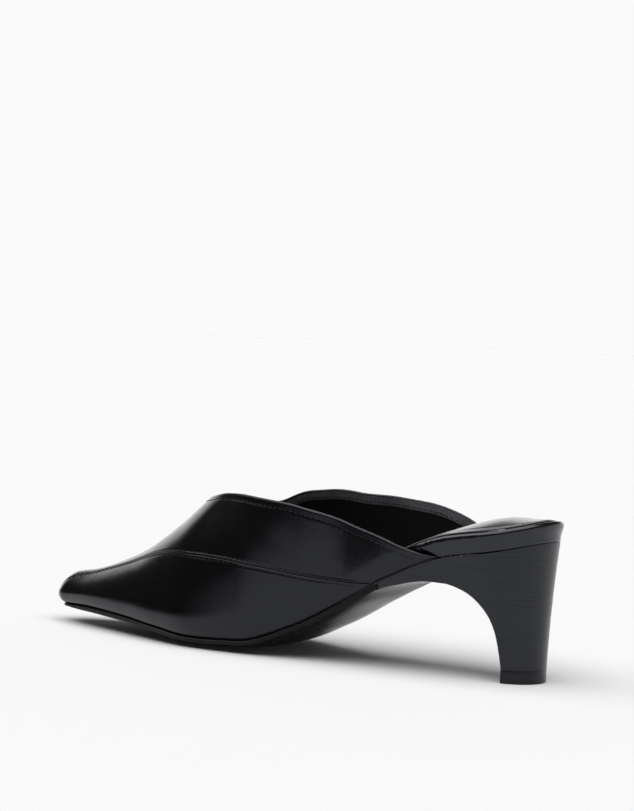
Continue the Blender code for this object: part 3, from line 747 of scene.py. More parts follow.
# %% Relief of seam, edge and foot
STITCH_FROM_SEAM = 1.3 * MM
STITCH_FROM_EDGE = 2.5 * MM
FACING_DEPTH = 3.6 * MM
FACING_STITCH = 2.8 * MM
SEAM_RELIEF = [
    # distance, half width, height in mm
    (0.0, 0.34 * MM, -0.36),
    (0.62 * MM, 0.50 * MM, 0.08),
    (STITCH_FROM_SEAM, 0.50 * MM, -0.11),
    (1.95 * MM, 0.70 * MM, 0.03)]
EDGE_RELIEF = [
    (0.65 * MM, 0.70 * MM, 0.04),
    (1.40 * MM, 0.35 * MM, -0.05),
    (STITCH_FROM_EDGE, 0.48 * MM, -0.11)]
EDGE_FADE = 5 * MM
FOOT_TUCK = 0.60
FOOT_TUCK_REACH = 1.7 * MM

seam_shares = np.concatenate([[0], np.geomspace(0.0004, 0.72, 420)])[::-1]
seam_line = wall_point(seam_shares * SHOE_LENGTH, seam_turn(seam_shares * SHOE_LENGTH), -1)
toe_line = wall_point(0.0, np.linspace(SEAM[0, 1], -1, 60), -1)
edge_line = base[edge_ids]
from_seam = line_distance(base, np.concatenate([seam_line, toe_line[1:]]))
from_edge = line_distance(base, edge_line)

relief = sum(high * bump_profile(from_seam, centre, half) for centre, half, high in SEAM_RELIEF)
along_edge = ease(base_arcs[:, 1] / EDGE_FADE)
relief += along_edge * sum(high * bump_profile(from_edge, centre, half)
                           for centre, half, high in EDGE_RELIEF)
relief -= FOOT_TUCK * ease(1 - base_arcs[:, 0] / FOOT_TUCK_REACH)
print("relief from", round(relief.min(), 2), "to", round(relief.max(), 2), "mm")

# %% [markdown]
# Lasting and a little wear leave soft waves in the leather. The main ones are listed, each
# as a short trough between two places on the wall given by u and turn, with a width and a depth.

# %% Creases, listed one by one
CREASES = [
    # side, u start, turn start, u end, turn end, half width in mm, depth in mm
    (-1, 0.106, 0.26, 0.126, 0.54, 2.6, 0.18),
    (-1, 0.118, 0.22, 0.140, 0.44, 3.0, 0.14),
    (-1, 0.097, 0.32, 0.111, 0.58, 2.2, 0.10),
    (-1, 0.130, 0.30, 0.160, 0.10, 7.0, 0.12),
    (1, 0.094, 0.60, 0.116, 0.28, 6.0, 0.14),
    (1, 0.066, 0.42, 0.090, 0.10, 5.0, 0.08)]


def trough(side, u1, turn1, u2, turn2, half, depth):
    t = np.linspace(0, 1, 24)
    line = wall_point(u1 + (u2 - u1) * t, turn1 + (turn2 - turn1) * t, side)
    away = line_distance(base, line) / (half * MM)
    return -depth * np.exp(-2.0 * away**2)


for crease in CREASES:
    relief += trough(*crease)
outer = base + normals * relief[:, None] * MM

# %% [markdown]
# The inside follows the outside at the thickness of the wall. The facing is a strip turned in over
# the edge, so the wall is a touch thicker there and its lower end shows as a small step. A half
# round of narrow strips joins outside and inside along the edge.

# %% The shell of the upper
FOLD_STRIPS = 8
SEAM_SHADE_WIDTH = 0.20 * MM
FACING_STEP = 0.25 * MM
FACING_STEP_RUN = 0.5 * MM
FACING_CHANNEL = 0.10 * MM
FACING_CHANNEL_HALF = 0.35 * MM

inward = UPPER_WALL - FACING_STEP * ease((from_edge - FACING_DEPTH) / FACING_STEP_RUN)
inward -= FACING_CHANNEL * bump_profile(from_edge, FACING_STITCH, FACING_CHANNEL_HALF)
inner = base - normals * inward[:, None]
inner[foot_ids, 2] = outer[foot_ids, 2]
OVER_SOLE = np.array([0.0, 0.0, CLEARANCE])


def upper_shell():
    count = len(outer)
    points = [outer, inner]
    faces = [list(q) for q in base_quads]
    # Faces in the seam's ditch take the black material: painted shade where the panels meet.
    slots = [3 if from_seam[q].mean() < SEAM_SHADE_WIDTH else 0 for q in base_quads]
    for q in base_quads:
        faces.append([v + count for v in q[::-1]])
        slots.append(1 if from_edge[q].mean() < FACING_DEPTH + 0.2 * MM else 2)
    upward = np.cross(unit(np.gradient(edge_line, axis=0)), normals[edge_ids])
    inside = base[[ids[-1, i, top_row - 1] for i in range(last_column, throat_column, -1)]
                  + [ids[1, i, top_row - 1] for i in range(throat_column, last_column + 1)]]
    if (upward * (edge_line - inside)).sum() < 0:
        upward = -upward
    outside = outer[edge_ids]
    within = inner[edge_ids]
    middle = (outside + within) / 2
    half = (outside - within) / 2
    radius = np.linalg.norm(half, axis=1)[:, None] * (0.15 + 0.75 * along_edge[edge_ids, None])
    rings = [list(edge_ids)]
    start = 2 * count
    for j in range(1, FOLD_STRIPS):
        angle = math.pi * j / FOLD_STRIPS
        points.append(middle + half * math.cos(angle) + upward * radius * math.sin(angle))
        rings.append(list(range(start, start + len(edge_ids))))
        start += len(edge_ids)
    rings.append([v + count for v in edge_ids])
    for first, second in zip(rings[:-1], rings[1:]):
        for j in range(len(edge_ids) - 1):
            faces.append([first[j], second[j], second[j + 1], first[j + 1]])
            slots.append(0)
    for side in (-1, 1):
        rims = [((i, 0), (i + 1, 0), 2) for i in range(last_column)]
        rims += [((last_column, k), (last_column, k + 1), 0) for k in range(top_row)]
        for first, second, slot in rims:
            a, b = ids[(side, *first)], ids[(side, *second)]
            faces.append([a, a + count, b + count, b] if side < 0 else [a, b, b + count, a + count])
            slots.append(slot)
    for j, side in ((0, -1), (-1, 1)):
        fan = [ring[j] for ring in rings]
        faces.append(fan if side > 0 else fan[::-1])
        slots.append(0)
    return np.concatenate(points), faces, slots


shell_points, shell_faces, shell_slots = upper_shell()
piece("upper", shell_points + OVER_SOLE, shell_faces, [GLAZED, FACING, LINING, PAINTED_SHADE], "upper",
      shell_slots)

# %% [markdown]
# Stitches are real little threads, laid in the channels. A row needs its line on the wall and the
# wall's normal beside it. Each stitch is a six-sided sausage whose ends dip into the leather, and a
# whole row is joined in one mesh. Between the stitches sit small black domes: painted shade for
# the needle holes.

# %% Stitching
SEAM_ROW_START = 4.0 * MM
SEAM_ROW_END = 0.697 * SHOE_LENGTH
STITCH_SPOTS = np.array([-0.5, -0.36, -0.16, 0.16, 0.36, 0.5])
STITCH_WIDTHS = np.array([0.45, 0.85, 1.0, 1.0, 0.85, 0.45])
STITCH_DIPS = np.array([1.7, 0.6, 0.0, 0.0, 0.6, 1.7])
STITCH_SIDES = 6
HOLE_RINGS = ((-0.6, 0.9), (0.1, 1.0), (0.35, 0.6))
HOLE_SIDES = 8


def wall_normal(u, turn, side):
    """Direction out of the wall, from small steps along it and across it."""
    step_u, step_t = 0.2 * MM, 0.002
    a = wall_point(u + step_u, turn, side) - wall_point(u - step_u, turn, side)
    b = wall_point(u, turn + step_t, side) - wall_point(u, turn - step_t, side)
    return unit(np.cross(a, b) * -side)


def beside_seam(offset):
    """Line at a distance along the section from the seam, with normals."""
    line, out = [], []
    for u in np.linspace(SEAM_ROW_START, SEAM_ROW_END, 420):
        turns = np.linspace(-1, float(top_turn(u, -1)), SECTION_SAMPLES)
        section = wall_point(u, turns, -1)
        arcs = run_length(section)
        at = np.interp(float(seam_turn(u)), turns, arcs) + offset
        turn = np.interp(at, arcs, turns)
        line.append(wall_point(u, turn, -1))
        out.append(wall_normal(u, turn, -1))
    return np.array(line), np.array(out)


def read_along(spots, gone, values):
    """Points or normals of a line at some distances along it."""
    return np.stack([np.interp(spots, gone, values[:, a]) for a in range(3)], -1)


def painted_hole_shade(name, line, out, gone, spots, radius, lift):
    """Small black domes in the channel, one between every two stitches: painted shade of the needle
    holes.
    """
    place, up = read_along(spots, gone, line), read_along(spots, gone, out)
    along = unit(np.gradient(place, axis=0))
    across = unit(np.cross(along, up))
    points, faces = [], []
    for n in range(len(spots)):
        start = len(points)
        for high, wide in HOLE_RINGS:
            for j in range(HOLE_SIDES):
                angle = 2 * math.pi * j / HOLE_SIDES
                flat_part = along[n] * math.cos(angle) * 1.1 + across[n] * math.sin(angle) * 0.85
                points.append(place[n] + up[n] * (lift + high * radius) + flat_part * wide * radius)
        faces += tube_faces(start, len(HOLE_RINGS), HOLE_SIDES)
        faces.append(list(range(start, start + HOLE_SIDES))[::-1])
        faces.append(list(range(len(points) - HOLE_SIDES, len(points))))
    piece(name, points, faces, [PAINTED_SHADE], None)


def stitch_row(name, line, out, pitch, length, radius, lift):
    """Stitches of one length at an even pitch along a line."""
    gone = run_length(line)
    centres = np.arange(pitch, gone[-1] - pitch, pitch)
    spots = (STITCH_SPOTS * length)[None, :] + centres[:, None]
    widths = radius * STITCH_WIDTHS
    dips = lift - radius * STITCH_DIPS
    place, up = read_along(spots, gone, line), read_along(spots, gone, out)
    across = unit(np.cross(unit(np.gradient(place, axis=1)), up))
    points, faces = [], []
    for n in range(len(centres)):
        start = len(points)
        for m in range(len(widths)):
            centre = place[n, m] + up[n, m] * dips[m]
            for j in range(STITCH_SIDES):
                angle = 2 * math.pi * j / STITCH_SIDES
                spoke = across[n, m] * math.cos(angle) + up[n, m] * math.sin(angle)
                points.append(centre + widths[m] * spoke)
        faces += tube_faces(start, len(widths), STITCH_SIDES)
        faces.append(list(range(start, start + STITCH_SIDES))[::-1])
        faces.append(list(range(len(points) - STITCH_SIDES, len(points))))
    piece(name, points, faces, [THREAD], None)
    painted_hole_shade(name + "_hole_shade", line, out, gone, centres[:-1] + pitch / 2, radius * 1.15,
                 lift - 0.5 * radius)


STITCH_PITCH = 2.7 * MM
STITCH_LENGTH = 1.85 * MM
STITCH_RADIUS = 0.25 * MM
FACING_LENGTH = 1.9 * MM
FACING_RADIUS = 0.19 * MM
FACING_SUNK = 0.03 * MM
for label, offset in (("upper", STITCH_FROM_SEAM), ("lower", -STITCH_FROM_SEAM)):
    line, out = beside_seam(offset)
    stitch_row("seam_stitches_" + label, line + OVER_SOLE, out, STITCH_PITCH, STITCH_LENGTH,
               STITCH_RADIUS, 0.0)


def beside_edge(distance, deep):
    """Line at a distance below the topline on the outside, or inside at a depth."""
    line, out = [], []
    for side, order in ((-1, range(last_column, -1, -1)), (1, range(last_column + 1))):
        for i in order:
            rows = [ids[side, i, k] for k in range(top_row + 1)]
            away = from_edge[rows]
            near = np.argmax(away[::-1] > distance)
            if near == 0 or base_arcs[rows[0], 1] < 4 * MM:
                continue
            k = len(rows) - 1 - near
            t = (distance - away[k + 1]) / (away[k] - away[k + 1])
            point = base[rows[k + 1]] + (base[rows[k]] - base[rows[k + 1]]) * t
            normal = normals[rows[k + 1]] + (normals[rows[k]] - normals[rows[k + 1]]) * t
            line.append(point - normal * deep)
            out.append(normal if deep == 0 else -normal)
    return np.array(line), np.array(out)


line, out = beside_edge(STITCH_FROM_EDGE, 0.0)
stitch_row("topline_stitches", line + OVER_SOLE, out, STITCH_PITCH, STITCH_LENGTH,
           STITCH_RADIUS, 0.0)
line, out = beside_edge(FACING_STITCH, UPPER_WALL)
stitch_row("facing_stitches", line + OVER_SOLE, out, STITCH_PITCH, FACING_LENGTH, FACING_RADIUS,
           -FACING_SUNK)

# %% [markdown]
# Sole, rim, sock and top piece are all plates: a plan, some outlines stacked one over the other to
# give the side its profile, and a top and bottom that may be crowned. One function builds them.
# The stations along the plan crowd at the rounded ends, where a coarse outline would show corners.

# %% Plates from stacked outlines
def outline_stations(start, end):
    nose = NOSE_ROUND * (1 - np.cos(np.linspace(0, np.pi / 2, 25)))
    seat = SHOE_LENGTH - SEAT_ROUND * (1 - np.sin(np.linspace(0, np.pi / 2, 49)))
    body = np.linspace(NOSE_ROUND, SHOE_LENGTH - SEAT_ROUND, 150)
    every = np.concatenate([nose, body[1:-1], seat])
    kept = every[(every > start + 0.2 * MM) & (every < end - 0.01 * MM)]
    return np.concatenate([[start], kept, [end]])


def plate(us, near, far, levels, top, bottom, flat_start, cells):
    """Points and faces of a closed plate; top and bottom give a lift from u, share and width."""
    last = len(us) - 1
    flat_end = near[-1] + far[-1] > 1e-6
    keys = [(i, 0) for i in range(last + 1)]
    if flat_end:
        keys += [(last, k) for k in range(1, cells)] + [(i, cells) for i in range(last, 0, -1)]
    else:
        keys += [(i, cells) for i in range(last - 1, 0, -1)]
    if flat_start:
        keys += [(0, k) for k in range(cells, 0, -1)]
    plan = np.array([(us[i], -near[i] + (near[i] + far[i]) * k / cells) for i, k in keys])
    before, after = plan - np.roll(plan, 1, axis=0), np.roll(plan, -1, axis=0) - plan
    along = unit(unit(before) + unit(after))
    outward = np.stack([along[:, 1], -along[:, 0]], -1)
    size = len(keys)
    hands = np.where(plan[:, 1] < 0, -1, 1)
    points, faces = [], []
    for outset, height in levels:
        moved = plan + outward * np.broadcast_to(outset(plan[:, 0], hands), (size,))[:, None]
        heights = np.broadcast_to(height(np.clip(moved[:, 0], 0, SHOE_LENGTH)), (size,))
        points += list(np.column_stack([moved, heights]))
    faces += tube_faces(0, len(levels), size)
    place = {key: j for j, key in enumerate(keys)}
    shares = np.arange(cells + 1) / cells
    for start, lift in ((0, bottom), ((len(levels) - 1) * size, top)):
        here = {}
        for i in range(last + 1):
            a = points[start + place[i, 0]]
            b = points[start + place.get((i, cells), place[i, 0])]
            lifts = lift(us[i], shares, float(np.linalg.norm(b - a)))
            for k in range(cells + 1):
                pointed = (i == 0 and not flat_start) or (i == last and not flat_end)
                key = (i, 0 if pointed else k)
                if key in place:
                    here[i, k] = start + place[key]
                    continue
                here[i, k] = len(points)
                point = a + (b - a) * shares[k]
                point[2] = max(point[2] + lifts[k], 0.0)
                points.append(point)
        for i in range(last):
            for k in range(cells):
                corners = (here[i, k], here[i + 1, k], here[i + 1, k + 1], here[i, k + 1])
                quad = list(dict.fromkeys(corners))
                if len(quad) > 2:
                    faces.append(quad)
    return np.array(points), faces


def outline_plate(us, levels, top, bottom, flat_start, cells):
    """A plate with the outline of the last."""
    return plate(us, half_width(us, -1), half_width(us, 1), levels, top, bottom, flat_start, cells)


def flat(u, shares, width):
    return np.zeros(len(shares))


def arch(shares):
    """1 in the middle of a section, 0 at its sides."""
    return 1 - (2 * shares - 1)**2


# %% [markdown]
# The sole is a thin slip of leather. Its edge is cut square, rounded below and broken by a narrow
# bevel above. That bevel is what draws the fine light line round the shoe, so it is modelled and
# not left to a bump; its lighter grey adds a painted highlight to that line. Under the ball the
# sole bulges down a little and is pressed flat by walking.

# %% Outsole
SOLE_EDGE_ROUND = 1.1 * MM
SOLE_BELLY = 2.2 * MM
SOLE_BEVEL = 0.50 * MM
SOLE_SKIVED = 1.0 * MM
SOLE_TIP_SKIVED = 1.4 * MM
SOLE_TIP_REACH = 25 * MM
SOLE_RISE = 0.2 * MM
SOLE_WAIST = 1.2 * MM
SOLE_FLAT_END = 0.60 * SHOE_LENGTH
SOLE_FLAT_FADE = 0.20 * SHOE_LENGTH
SOLE_WAIST_START = 0.42 * SHOE_LENGTH
SOLE_WAIST_RUN = 0.12 * SHOE_LENGTH
HEEL_JOINT = 9 * MM
CELLS_ACROSS = 28


def at_heel(u):
    """0 along the sole, 1 where it butts against the heel and must be square like it."""
    return ease((u - HEEL_FRONT + HEEL_JOINT) / (HEEL_JOINT - MM))


def skived(u):
    """How much thinner the edge is than the sole's middle; nothing at the heel."""
    at_tip = SOLE_TIP_SKIVED * (1 - ease(u / SOLE_TIP_REACH))
    return at_tip + SOLE_SKIVED * (1 - ease((u / SHOE_LENGTH - 0.55) / 0.15))


def edge_round(u):
    """Radius of the edge's lower corner, small at the thin tip and at the heel."""
    return SOLE_EDGE_ROUND * (1 - 0.85 * at_heel(u)) * (0.2 + 0.8 * ease(u / SOLE_TIP_REACH))


def sole_floor(u):
    return np.maximum(last_height(u) - SOLE_THICK + skived(u), 0.0)


def sole_bottom(u, shares, width):
    full = ease(u / (6 * NOSE_ROUND)) * np.clip((SOLE_FLAT_END - u) / SOLE_FLAT_FADE, 0, 1)
    waist = SOLE_WAIST * ease((u - SOLE_WAIST_START) / SOLE_WAIST_RUN) * (1 - at_heel(u))
    return -(SOLE_BELLY + skived(u)) * full * arch(shares) - waist * (1 - (1 - arch(shares))**2)


us = outline_stations(0.0, HEEL_FRONT - 0.05 * MM)
sole_levels = []
for angle in np.linspace(0, math.pi / 2, 6):
    sole_levels.append((
        lambda u, side, a=angle: edge_round(u) * (math.sin(a) - 1),
        lambda u, a=angle: sole_floor(u) + edge_round(u) * (1 - math.cos(a))))
for drop, inset in ((1.1, 0.0), (1.0, 0.0), (0.92, 0.05), (0.12, 0.80), (0.0, 1.0)):
    sole_levels.append((lambda u, side, s=inset: -SOLE_BEVEL * s * (1 - 0.7 * at_heel(u)),
                        lambda u, d=drop: last_height(u) + SOLE_RISE - SOLE_BEVEL * d))
points, faces = outline_plate(us, sole_levels, flat, sole_bottom, False, CELLS_ACROSS)
around = 2 * (len(us) - 1) + CELLS_ACROSS
bevel = (len(sole_levels) - 3) * around
# One band of faces at the bevel takes the lighter grey of the painted highlight.
slots = [2 if n < bevel else 1 if n < bevel + around else 0 for n in range(len(faces))]
piece("outsole", points, faces, [SOLE, BEVEL_HIGHLIGHT, EDGE], "outsole", slots)

# %% [markdown]
# The foot stands on an insole board. Inside the upper it is thin; behind the wings it thickens to
# a rim wrapped in the same glazed leather, whose upper edge rolls over in a full round. Leather
# pulled by hand round a curve is never quite even, so the roll carries a slight ripple.

# %% Rim of the seat
RIM_HEIGHT = 9.0 * MM
RIM_FLARE = 1.1 * MM
RIM_ROUND = 1.5 * MM
RIM_RUN = 8.0 * MM
RIM_ROLL = 2.8 * MM
RIM_RECESS = 1.4 * MM
RIM_RIPPLE = 0.05 * MM
RIM_WAVES = (900, 2130)
RIM_SLANT = {"near": 1.4, "far": 0.35}
RIM_FRONT = np.arange(203.0, 225.0, 0.35) * MM

INSOLE = np.array([
    # share thick crown
    (0.00, 0.18, 0.11),
    (0.42, 0.18, 0.17),
    (0.55, 0.42, 0.22),
    (0.67, 0.80, 0.39),
    (0.76, 0.98, 0.67),
    (0.82, 1.00, 0.89),
    (0.92, 1.00, 1.00),
    (1.00, 1.00, 0.83)])


def insole_thick(u):
    return RIM_HEIGHT * curve(INSOLE, 1, u / SHOE_LENGTH)


def insole_top(u):
    return last_height(u) + CLEARANCE + insole_thick(u)


def rim_free(u):
    """0 between the wings, 1 where the rim stands free behind them."""
    return ease((u - WING_END - MM) / RIM_RUN)


def rim_wrapped(u, side, height):
    """The same for the wrapped rim, whose front slants along the edge of each wing."""
    slant = np.where(side < 0, RIM_SLANT["near"], RIM_SLANT["far"])
    return ease((u - (WING_END + 0.3 * MM - slant * height)) / (0.7 * MM))


def insole_side(u, share, side=None):
    height = share * insole_thick(u)
    swell = BALL_WIDTH * curve(FORM, 1, u / SHOE_LENGTH)
    belly = BALL_WIDTH * curve(FORM, 2, u / SHOE_LENGTH)
    low = np.clip(1 - height / belly, 0, 1)
    lean = 2 * swell * low / belly
    inside = swell * (1 - low**2) - UPPER_WALL * np.sqrt(1 + lean**2) - 2 * CLEARANCE
    behind = RIM_FLARE * ease((share - 0.2) / 0.6) - CLEARANCE
    free = rim_free(u) if side is None else rim_wrapped(u, side, height)
    inside = inside if side is None else inside - RIM_RECESS
    return inside * (1 - free) + behind * free


def rim_level(up, rounding):
    """Level at a share of the straight part (up to 1) or of the roll (1 to 2)."""
    def share(u):
        roll = np.minimum(RIM_ROLL / insole_thick(u), 0.45)
        return np.where(up <= 1, up * (1 - roll), 1 - roll + (up - 1) * roll)

    def outset(u, side):
        free = rim_wrapped(u, side, share(u) * insole_thick(u))
        waves = np.sin(u * RIM_WAVES[0]) + 0.6 * np.sin(u * RIM_WAVES[1] + 1.0)
        ripple = RIM_RIPPLE * free * waves * min(up / 2, 1)
        rounded = rounding * RIM_ROUND * (0.3 + 0.7 * free)
        return insole_side(u, share(u), side) - rounded + ripple - 0.1 * MM

    def height(u):
        return last_height(u) + CLEARANCE + share(u) * insole_thick(u)

    return outset, height


us = outline_stations(0.0, SHOE_LENGTH)
us = np.unique(np.concatenate([us, RIM_FRONT]).round(6))
rim_levels = [rim_level(0.0, 0.35), rim_level(0.05, 0.08)]
rim_levels += [rim_level(up, 0.0) for up in np.linspace(0.12, 1.0, 16)]
for angle in np.linspace(0, math.pi / 2, 10)[1:]:
    rim_levels.append(rim_level(1 + math.sin(angle), 1 - math.cos(angle)))
points, faces = outline_plate(us, rim_levels, flat, flat, False, CELLS_ACROSS)
piece("insole", points, faces, [RIM], "insole")

# %% [markdown]
# The sock is a leather cover over a thin pad, glued down and pressed with a fine line beside its
# edge. It crowns at the seat and falls away to its sides. The pad is light stuffing that keeps its
# shape, so the form is worked out and not simulated.

# %% Sock
SOCK_INSET = 1.1 * MM
SOCK_SEAT_INSET = 1.0 * MM
SOCK_EDGE = 0.75 * MM
SOCK_ROUND = 0.8 * MM
SOCK_CROWN = 3.6 * MM
SOCK_FRONT = 12 * MM
SOCK_LINE = 2.0 * MM
SOCK_LINE_WIDTH = 0.9 * MM
SOCK_LINE_DEPTH = 0.16 * MM
SOCK_CELLS = 80
SOCK_PILLOW = 2.5 * MM
SOCK_PILLOW_AT = 0.912 * SHOE_LENGTH
SOCK_PILLOW_REACH = 11 * MM


def sock_inset(u):
    free = rim_free(u)
    at_seat = SOCK_SEAT_INSET * ease((u / SHOE_LENGTH - 0.92) / 0.08)
    return insole_side(u, 1.0) - CLEARANCE * (1 - free) - (RIM_ROUND + SOCK_INSET + at_seat) * free


widest_seat = half_width(np.linspace(0.05, 0.6, 300) * SHOE_LENGTH, -1).max()


def sock_top(u, shares, width):
    fullness = float(half_width(u, -1)) / widest_seat
    crown = SOCK_CROWN * curve(INSOLE, 2, u / SHOE_LENGTH) * fullness**2
    crown += SOCK_PILLOW * np.exp(-0.5 * ((u - SOCK_PILLOW_AT) / SOCK_PILLOW_REACH)**2)
    away = np.minimum(shares, 1 - shares) * width
    channel = SOCK_LINE_DEPTH * bump_profile(away, SOCK_LINE, SOCK_LINE_WIDTH)
    channel *= ease(width / (12 * MM))
    return crown * arch(shares) - channel


us = outline_stations(SOCK_FRONT, SHOE_LENGTH)
sock_levels = [(lambda u, side: sock_inset(u), lambda u: insole_top(u) + CLEARANCE)]
for angle in np.linspace(0, math.pi / 2, 7):
    up = SOCK_EDGE * (0.3 + 0.7 * math.sin(angle))
    sock_levels.append((lambda u, side, a=angle: sock_inset(u) - SOCK_ROUND * (1 - math.cos(a)),
                        lambda u, h=up: insole_top(u) + CLEARANCE + h))
points, faces = outline_plate(us, sock_levels, sock_top, flat, True, SOCK_CELLS)
sock = piece("sock", points, faces, [SOCK], "sock")

# %% [markdown]
# The heel is widest under the seat, narrows to a small foot and is hollowed in front by the breast,
# a long arch that runs out in a thin flap under the waist. A block is lofted between the outline of
# the seat and that of the foot, and the arch is cut with a prism. A small bevel on the cut edges
# keeps the light from stopping dead at the corners.

# %% Heel
HEEL_FOOT_RADIUS = 14.6 * MM
HEEL_FOOT_DEPTH = 12.4 * MM
HEEL_FOOT_BACK = 3.1 * MM
TOP_PIECE_HEIGHT = 5.5 * MM
TOP_PIECE_LIP = 0.5 * MM
TOP_PIECE_ROUND = 0.5 * MM
TOP_PIECE_PROUD = 0.1 * MM
HEEL_TUCK = 0.6 * MM
HEEL_TAPER = 2.2
HEEL_EDGE = 0.25 * MM
FLAP_REACH = 9 * MM
BREAST_TURN = 7

BREAST = np.array([
    # reach  height
    (-0.042, 0.586),
    (0.000, 0.604),
    (0.058, 0.628),
    (0.168, 0.659),
    (0.278, 0.687),
    (0.412, 0.705),
    (0.553, 0.702),
    (0.626, 0.688),
    (0.736, 0.644),
    (0.841, 0.558),
    (0.910, 0.462),
    (0.952, 0.349),
    (0.977, 0.217),
    (0.994, 0.094),
    (0.999, -0.034)])


def foot_half_width(x):
    centre = SHOE_LENGTH - HEEL_FOOT_BACK - HEEL_FOOT_RADIUS
    away = np.clip((x - centre) / HEEL_FOOT_RADIUS, 0, 1)
    return HEEL_FOOT_RADIUS * np.sqrt(1 - away**2)


def heel_block(rows, cells):
    back = SHOE_LENGTH - HEEL_FOOT_BACK
    us = outline_stations(HEEL_FRONT, SHOE_LENGTH)
    last = len(us) - 1
    front = (HEEL_FRONT + back - HEEL_FOOT_DEPTH) / 2
    foot_us = front + (us - HEEL_FRONT) / (SHOE_LENGTH - HEEL_FRONT) * (back - front)
    keys = [(i, 0) for i in range(last + 1)] + [(i, cells) for i in range(last - 1, -1, -1)]
    keys += [(0, k) for k in range(cells - 1, 0, -1)]
    above, below = [], []
    for i, k in keys:
        a, b = -half_width(us[i], -1), half_width(us[i], 1)
        w = foot_half_width(foot_us[i])
        tucked = us[i] - HEEL_TUCK * ease((us[i] / SHOE_LENGTH - 0.86) / 0.14)
        above.append((tucked, a + (b - a) * k / cells, last_height(us[i])))
        below.append((foot_us[i] if i else HEEL_FRONT, -w + 2 * w * k / cells, 0.0))
    above, below = np.array(above), np.array(below)
    size = len(keys)
    floor = TOP_PIECE_HEIGHT + CLEARANCE
    points, faces = [], []
    for n in range(rows + 1):
        z = floor + (above[:, 2] - floor) * n / rows
        share = z / above[:, 2]
        ring = below + (above - below) * (0.25 * share + 0.75 * share**HEEL_TAPER)[:, None]
        ring[:, 2] = z
        points += list(ring)
    faces += tube_faces(0, rows + 1, size)
    faces.append(list(range(size))[::-1])
    place = {key: j for j, key in enumerate(keys)}
    start = rows * size
    extra = {}
    for i in range(last):
        for k in range(cells):
            quad = []
            for key in ((i, k), (i + 1, k), (i + 1, k + 1), (i, k + 1)):
                key = (last, 0) if key[0] == last else key
                if key in place:
                    quad.append(start + place[key])
                    continue
                if key not in extra:
                    a, b = points[start + place[key[0], 0]], points[start + place[key[0], cells]]
                    extra[key] = len(points)
                    points.append(a + (b - a) * key[1] / cells)
                quad.append(extra[key])
            quad = list(dict.fromkeys(quad))
            if len(quad) > 2:
                faces.append(quad)
    return points, faces


def breast_prism():
    span = SHOE_LENGTH - HEEL_FOOT_BACK - HEEL_FOOT_DEPTH - HEEL_FRONT
    crest = BREAST[BREAST_TURN]
    shares = np.linspace(BREAST[0, 0], crest[0], 60)
    falling = BREAST[BREAST_TURN:][::-1][:, ::-1]
    drops = np.linspace(crest[1], BREAST[-1, 1], 90)[1:]
    heights = SEAT_RISE * curve(BREAST, 1, shares)
    step = SEAT_RISE * float(curve(BREAST, 1, 0.0)) - float(sole_floor(HEEL_FRONT))
    print("the sole ends", round(step / MM, 2), "mm below the flap, which meets it over",
          FLAP_REACH / MM, "mm")
    heights = heights - step * (1 - ease(shares * span / FLAP_REACH))
    line = [(HEEL_FRONT + s * span, h) for s, h in zip(shares, heights)]
    line += [(HEEL_FRONT + s * span, SEAT_RISE * h)
             for s, h in zip(curve(falling, 1, drops), drops)]
    line.append((HEEL_FRONT + BREAST[0, 0] * span, SEAT_RISE * BREAST[-1, 1]))
    size = len(line)
    points = [(x, y, z) for y in (-BALL_WIDTH, BALL_WIDTH) for x, z in line]
    faces = [list(range(size)), list(range(2 * size - 1, size - 1, -1))]
    return points, faces + tube_faces(0, 2, size)


block = closed_object("heel_block", *heel_block(48, 16))
prism = closed_object("breast_prism", *breast_prism())
cut = block.modifiers.new("breast", "BOOLEAN")
cut.operation = "DIFFERENCE"
cut.solver = "EXACT"
cut.object = prism
soften = block.modifiers.new("soften", "BEVEL")
soften.width = HEEL_EDGE
soften.segments = 2
soften.limit_method = "ANGLE"
soften.angle_limit = math.radians(50)
carved = bpy.data.meshes.new_from_object(block.evaluated_get(bpy.context.evaluated_depsgraph_get()))
for item in (block, prism):
    bpy.data.objects.remove(item, do_unlink=True)
points = [v.co[:] for v in carved.vertices]
faces = [list(p.vertices) for p in carved.polygons]
bpy.data.meshes.remove(carved)
heel = piece("heel", points, faces, [HEEL], "heel")
heel.data.set_sharp_from_angle(angle=math.radians(40))

# %% [markdown]
# The top piece is the only part of the heel that wears, a slip of hard rubber nailed under the
# stack. It is cut a touch larger than the foot and its lower edge is rubbed round.

# %% Top piece
back = SHOE_LENGTH - HEEL_FOOT_BACK
front = back - HEEL_FOOT_DEPTH - TOP_PIECE_LIP
us = front + (back - front) * np.sin(np.linspace(0, math.pi / 2, 40))
widths = foot_half_width(us)
widths[-1] = 0.0
top_levels = []
profile = [(1 - math.sin(a), TOP_PIECE_ROUND * (1 - math.cos(a)))
           for a in np.linspace(0, math.pi / 2, 5)]
profile += [(0.0, TOP_PIECE_HEIGHT), (0.15, TOP_PIECE_HEIGHT * 1.04)]
for inset, up in profile:
    top_levels.append((lambda u, side, s=inset: TOP_PIECE_PROUD - TOP_PIECE_ROUND * s,
                       lambda u, h=up: h))
points, faces = plate(us, widths, widths, top_levels, flat, flat, True, 16)
top_piece = piece("top_piece", points, faces, [RUBBER], "top_piece")
top_piece.data.set_sharp_from_angle(angle=math.radians(50))

# %% [markdown]
# Black gloss shows nothing but its surroundings, so the studio is part of the material. The room is
# a sky of directions: white at the level of the floor, dark from a little above it to well
# overhead, with a bright panel on top, a second one low behind the toe, and a dark screen beside
# the toe that reaches down to the floor. The screen draws the black fields on toe and vamp, and the
# low panel draws the rim of light along the instep. Only the camera sees an even pale room.

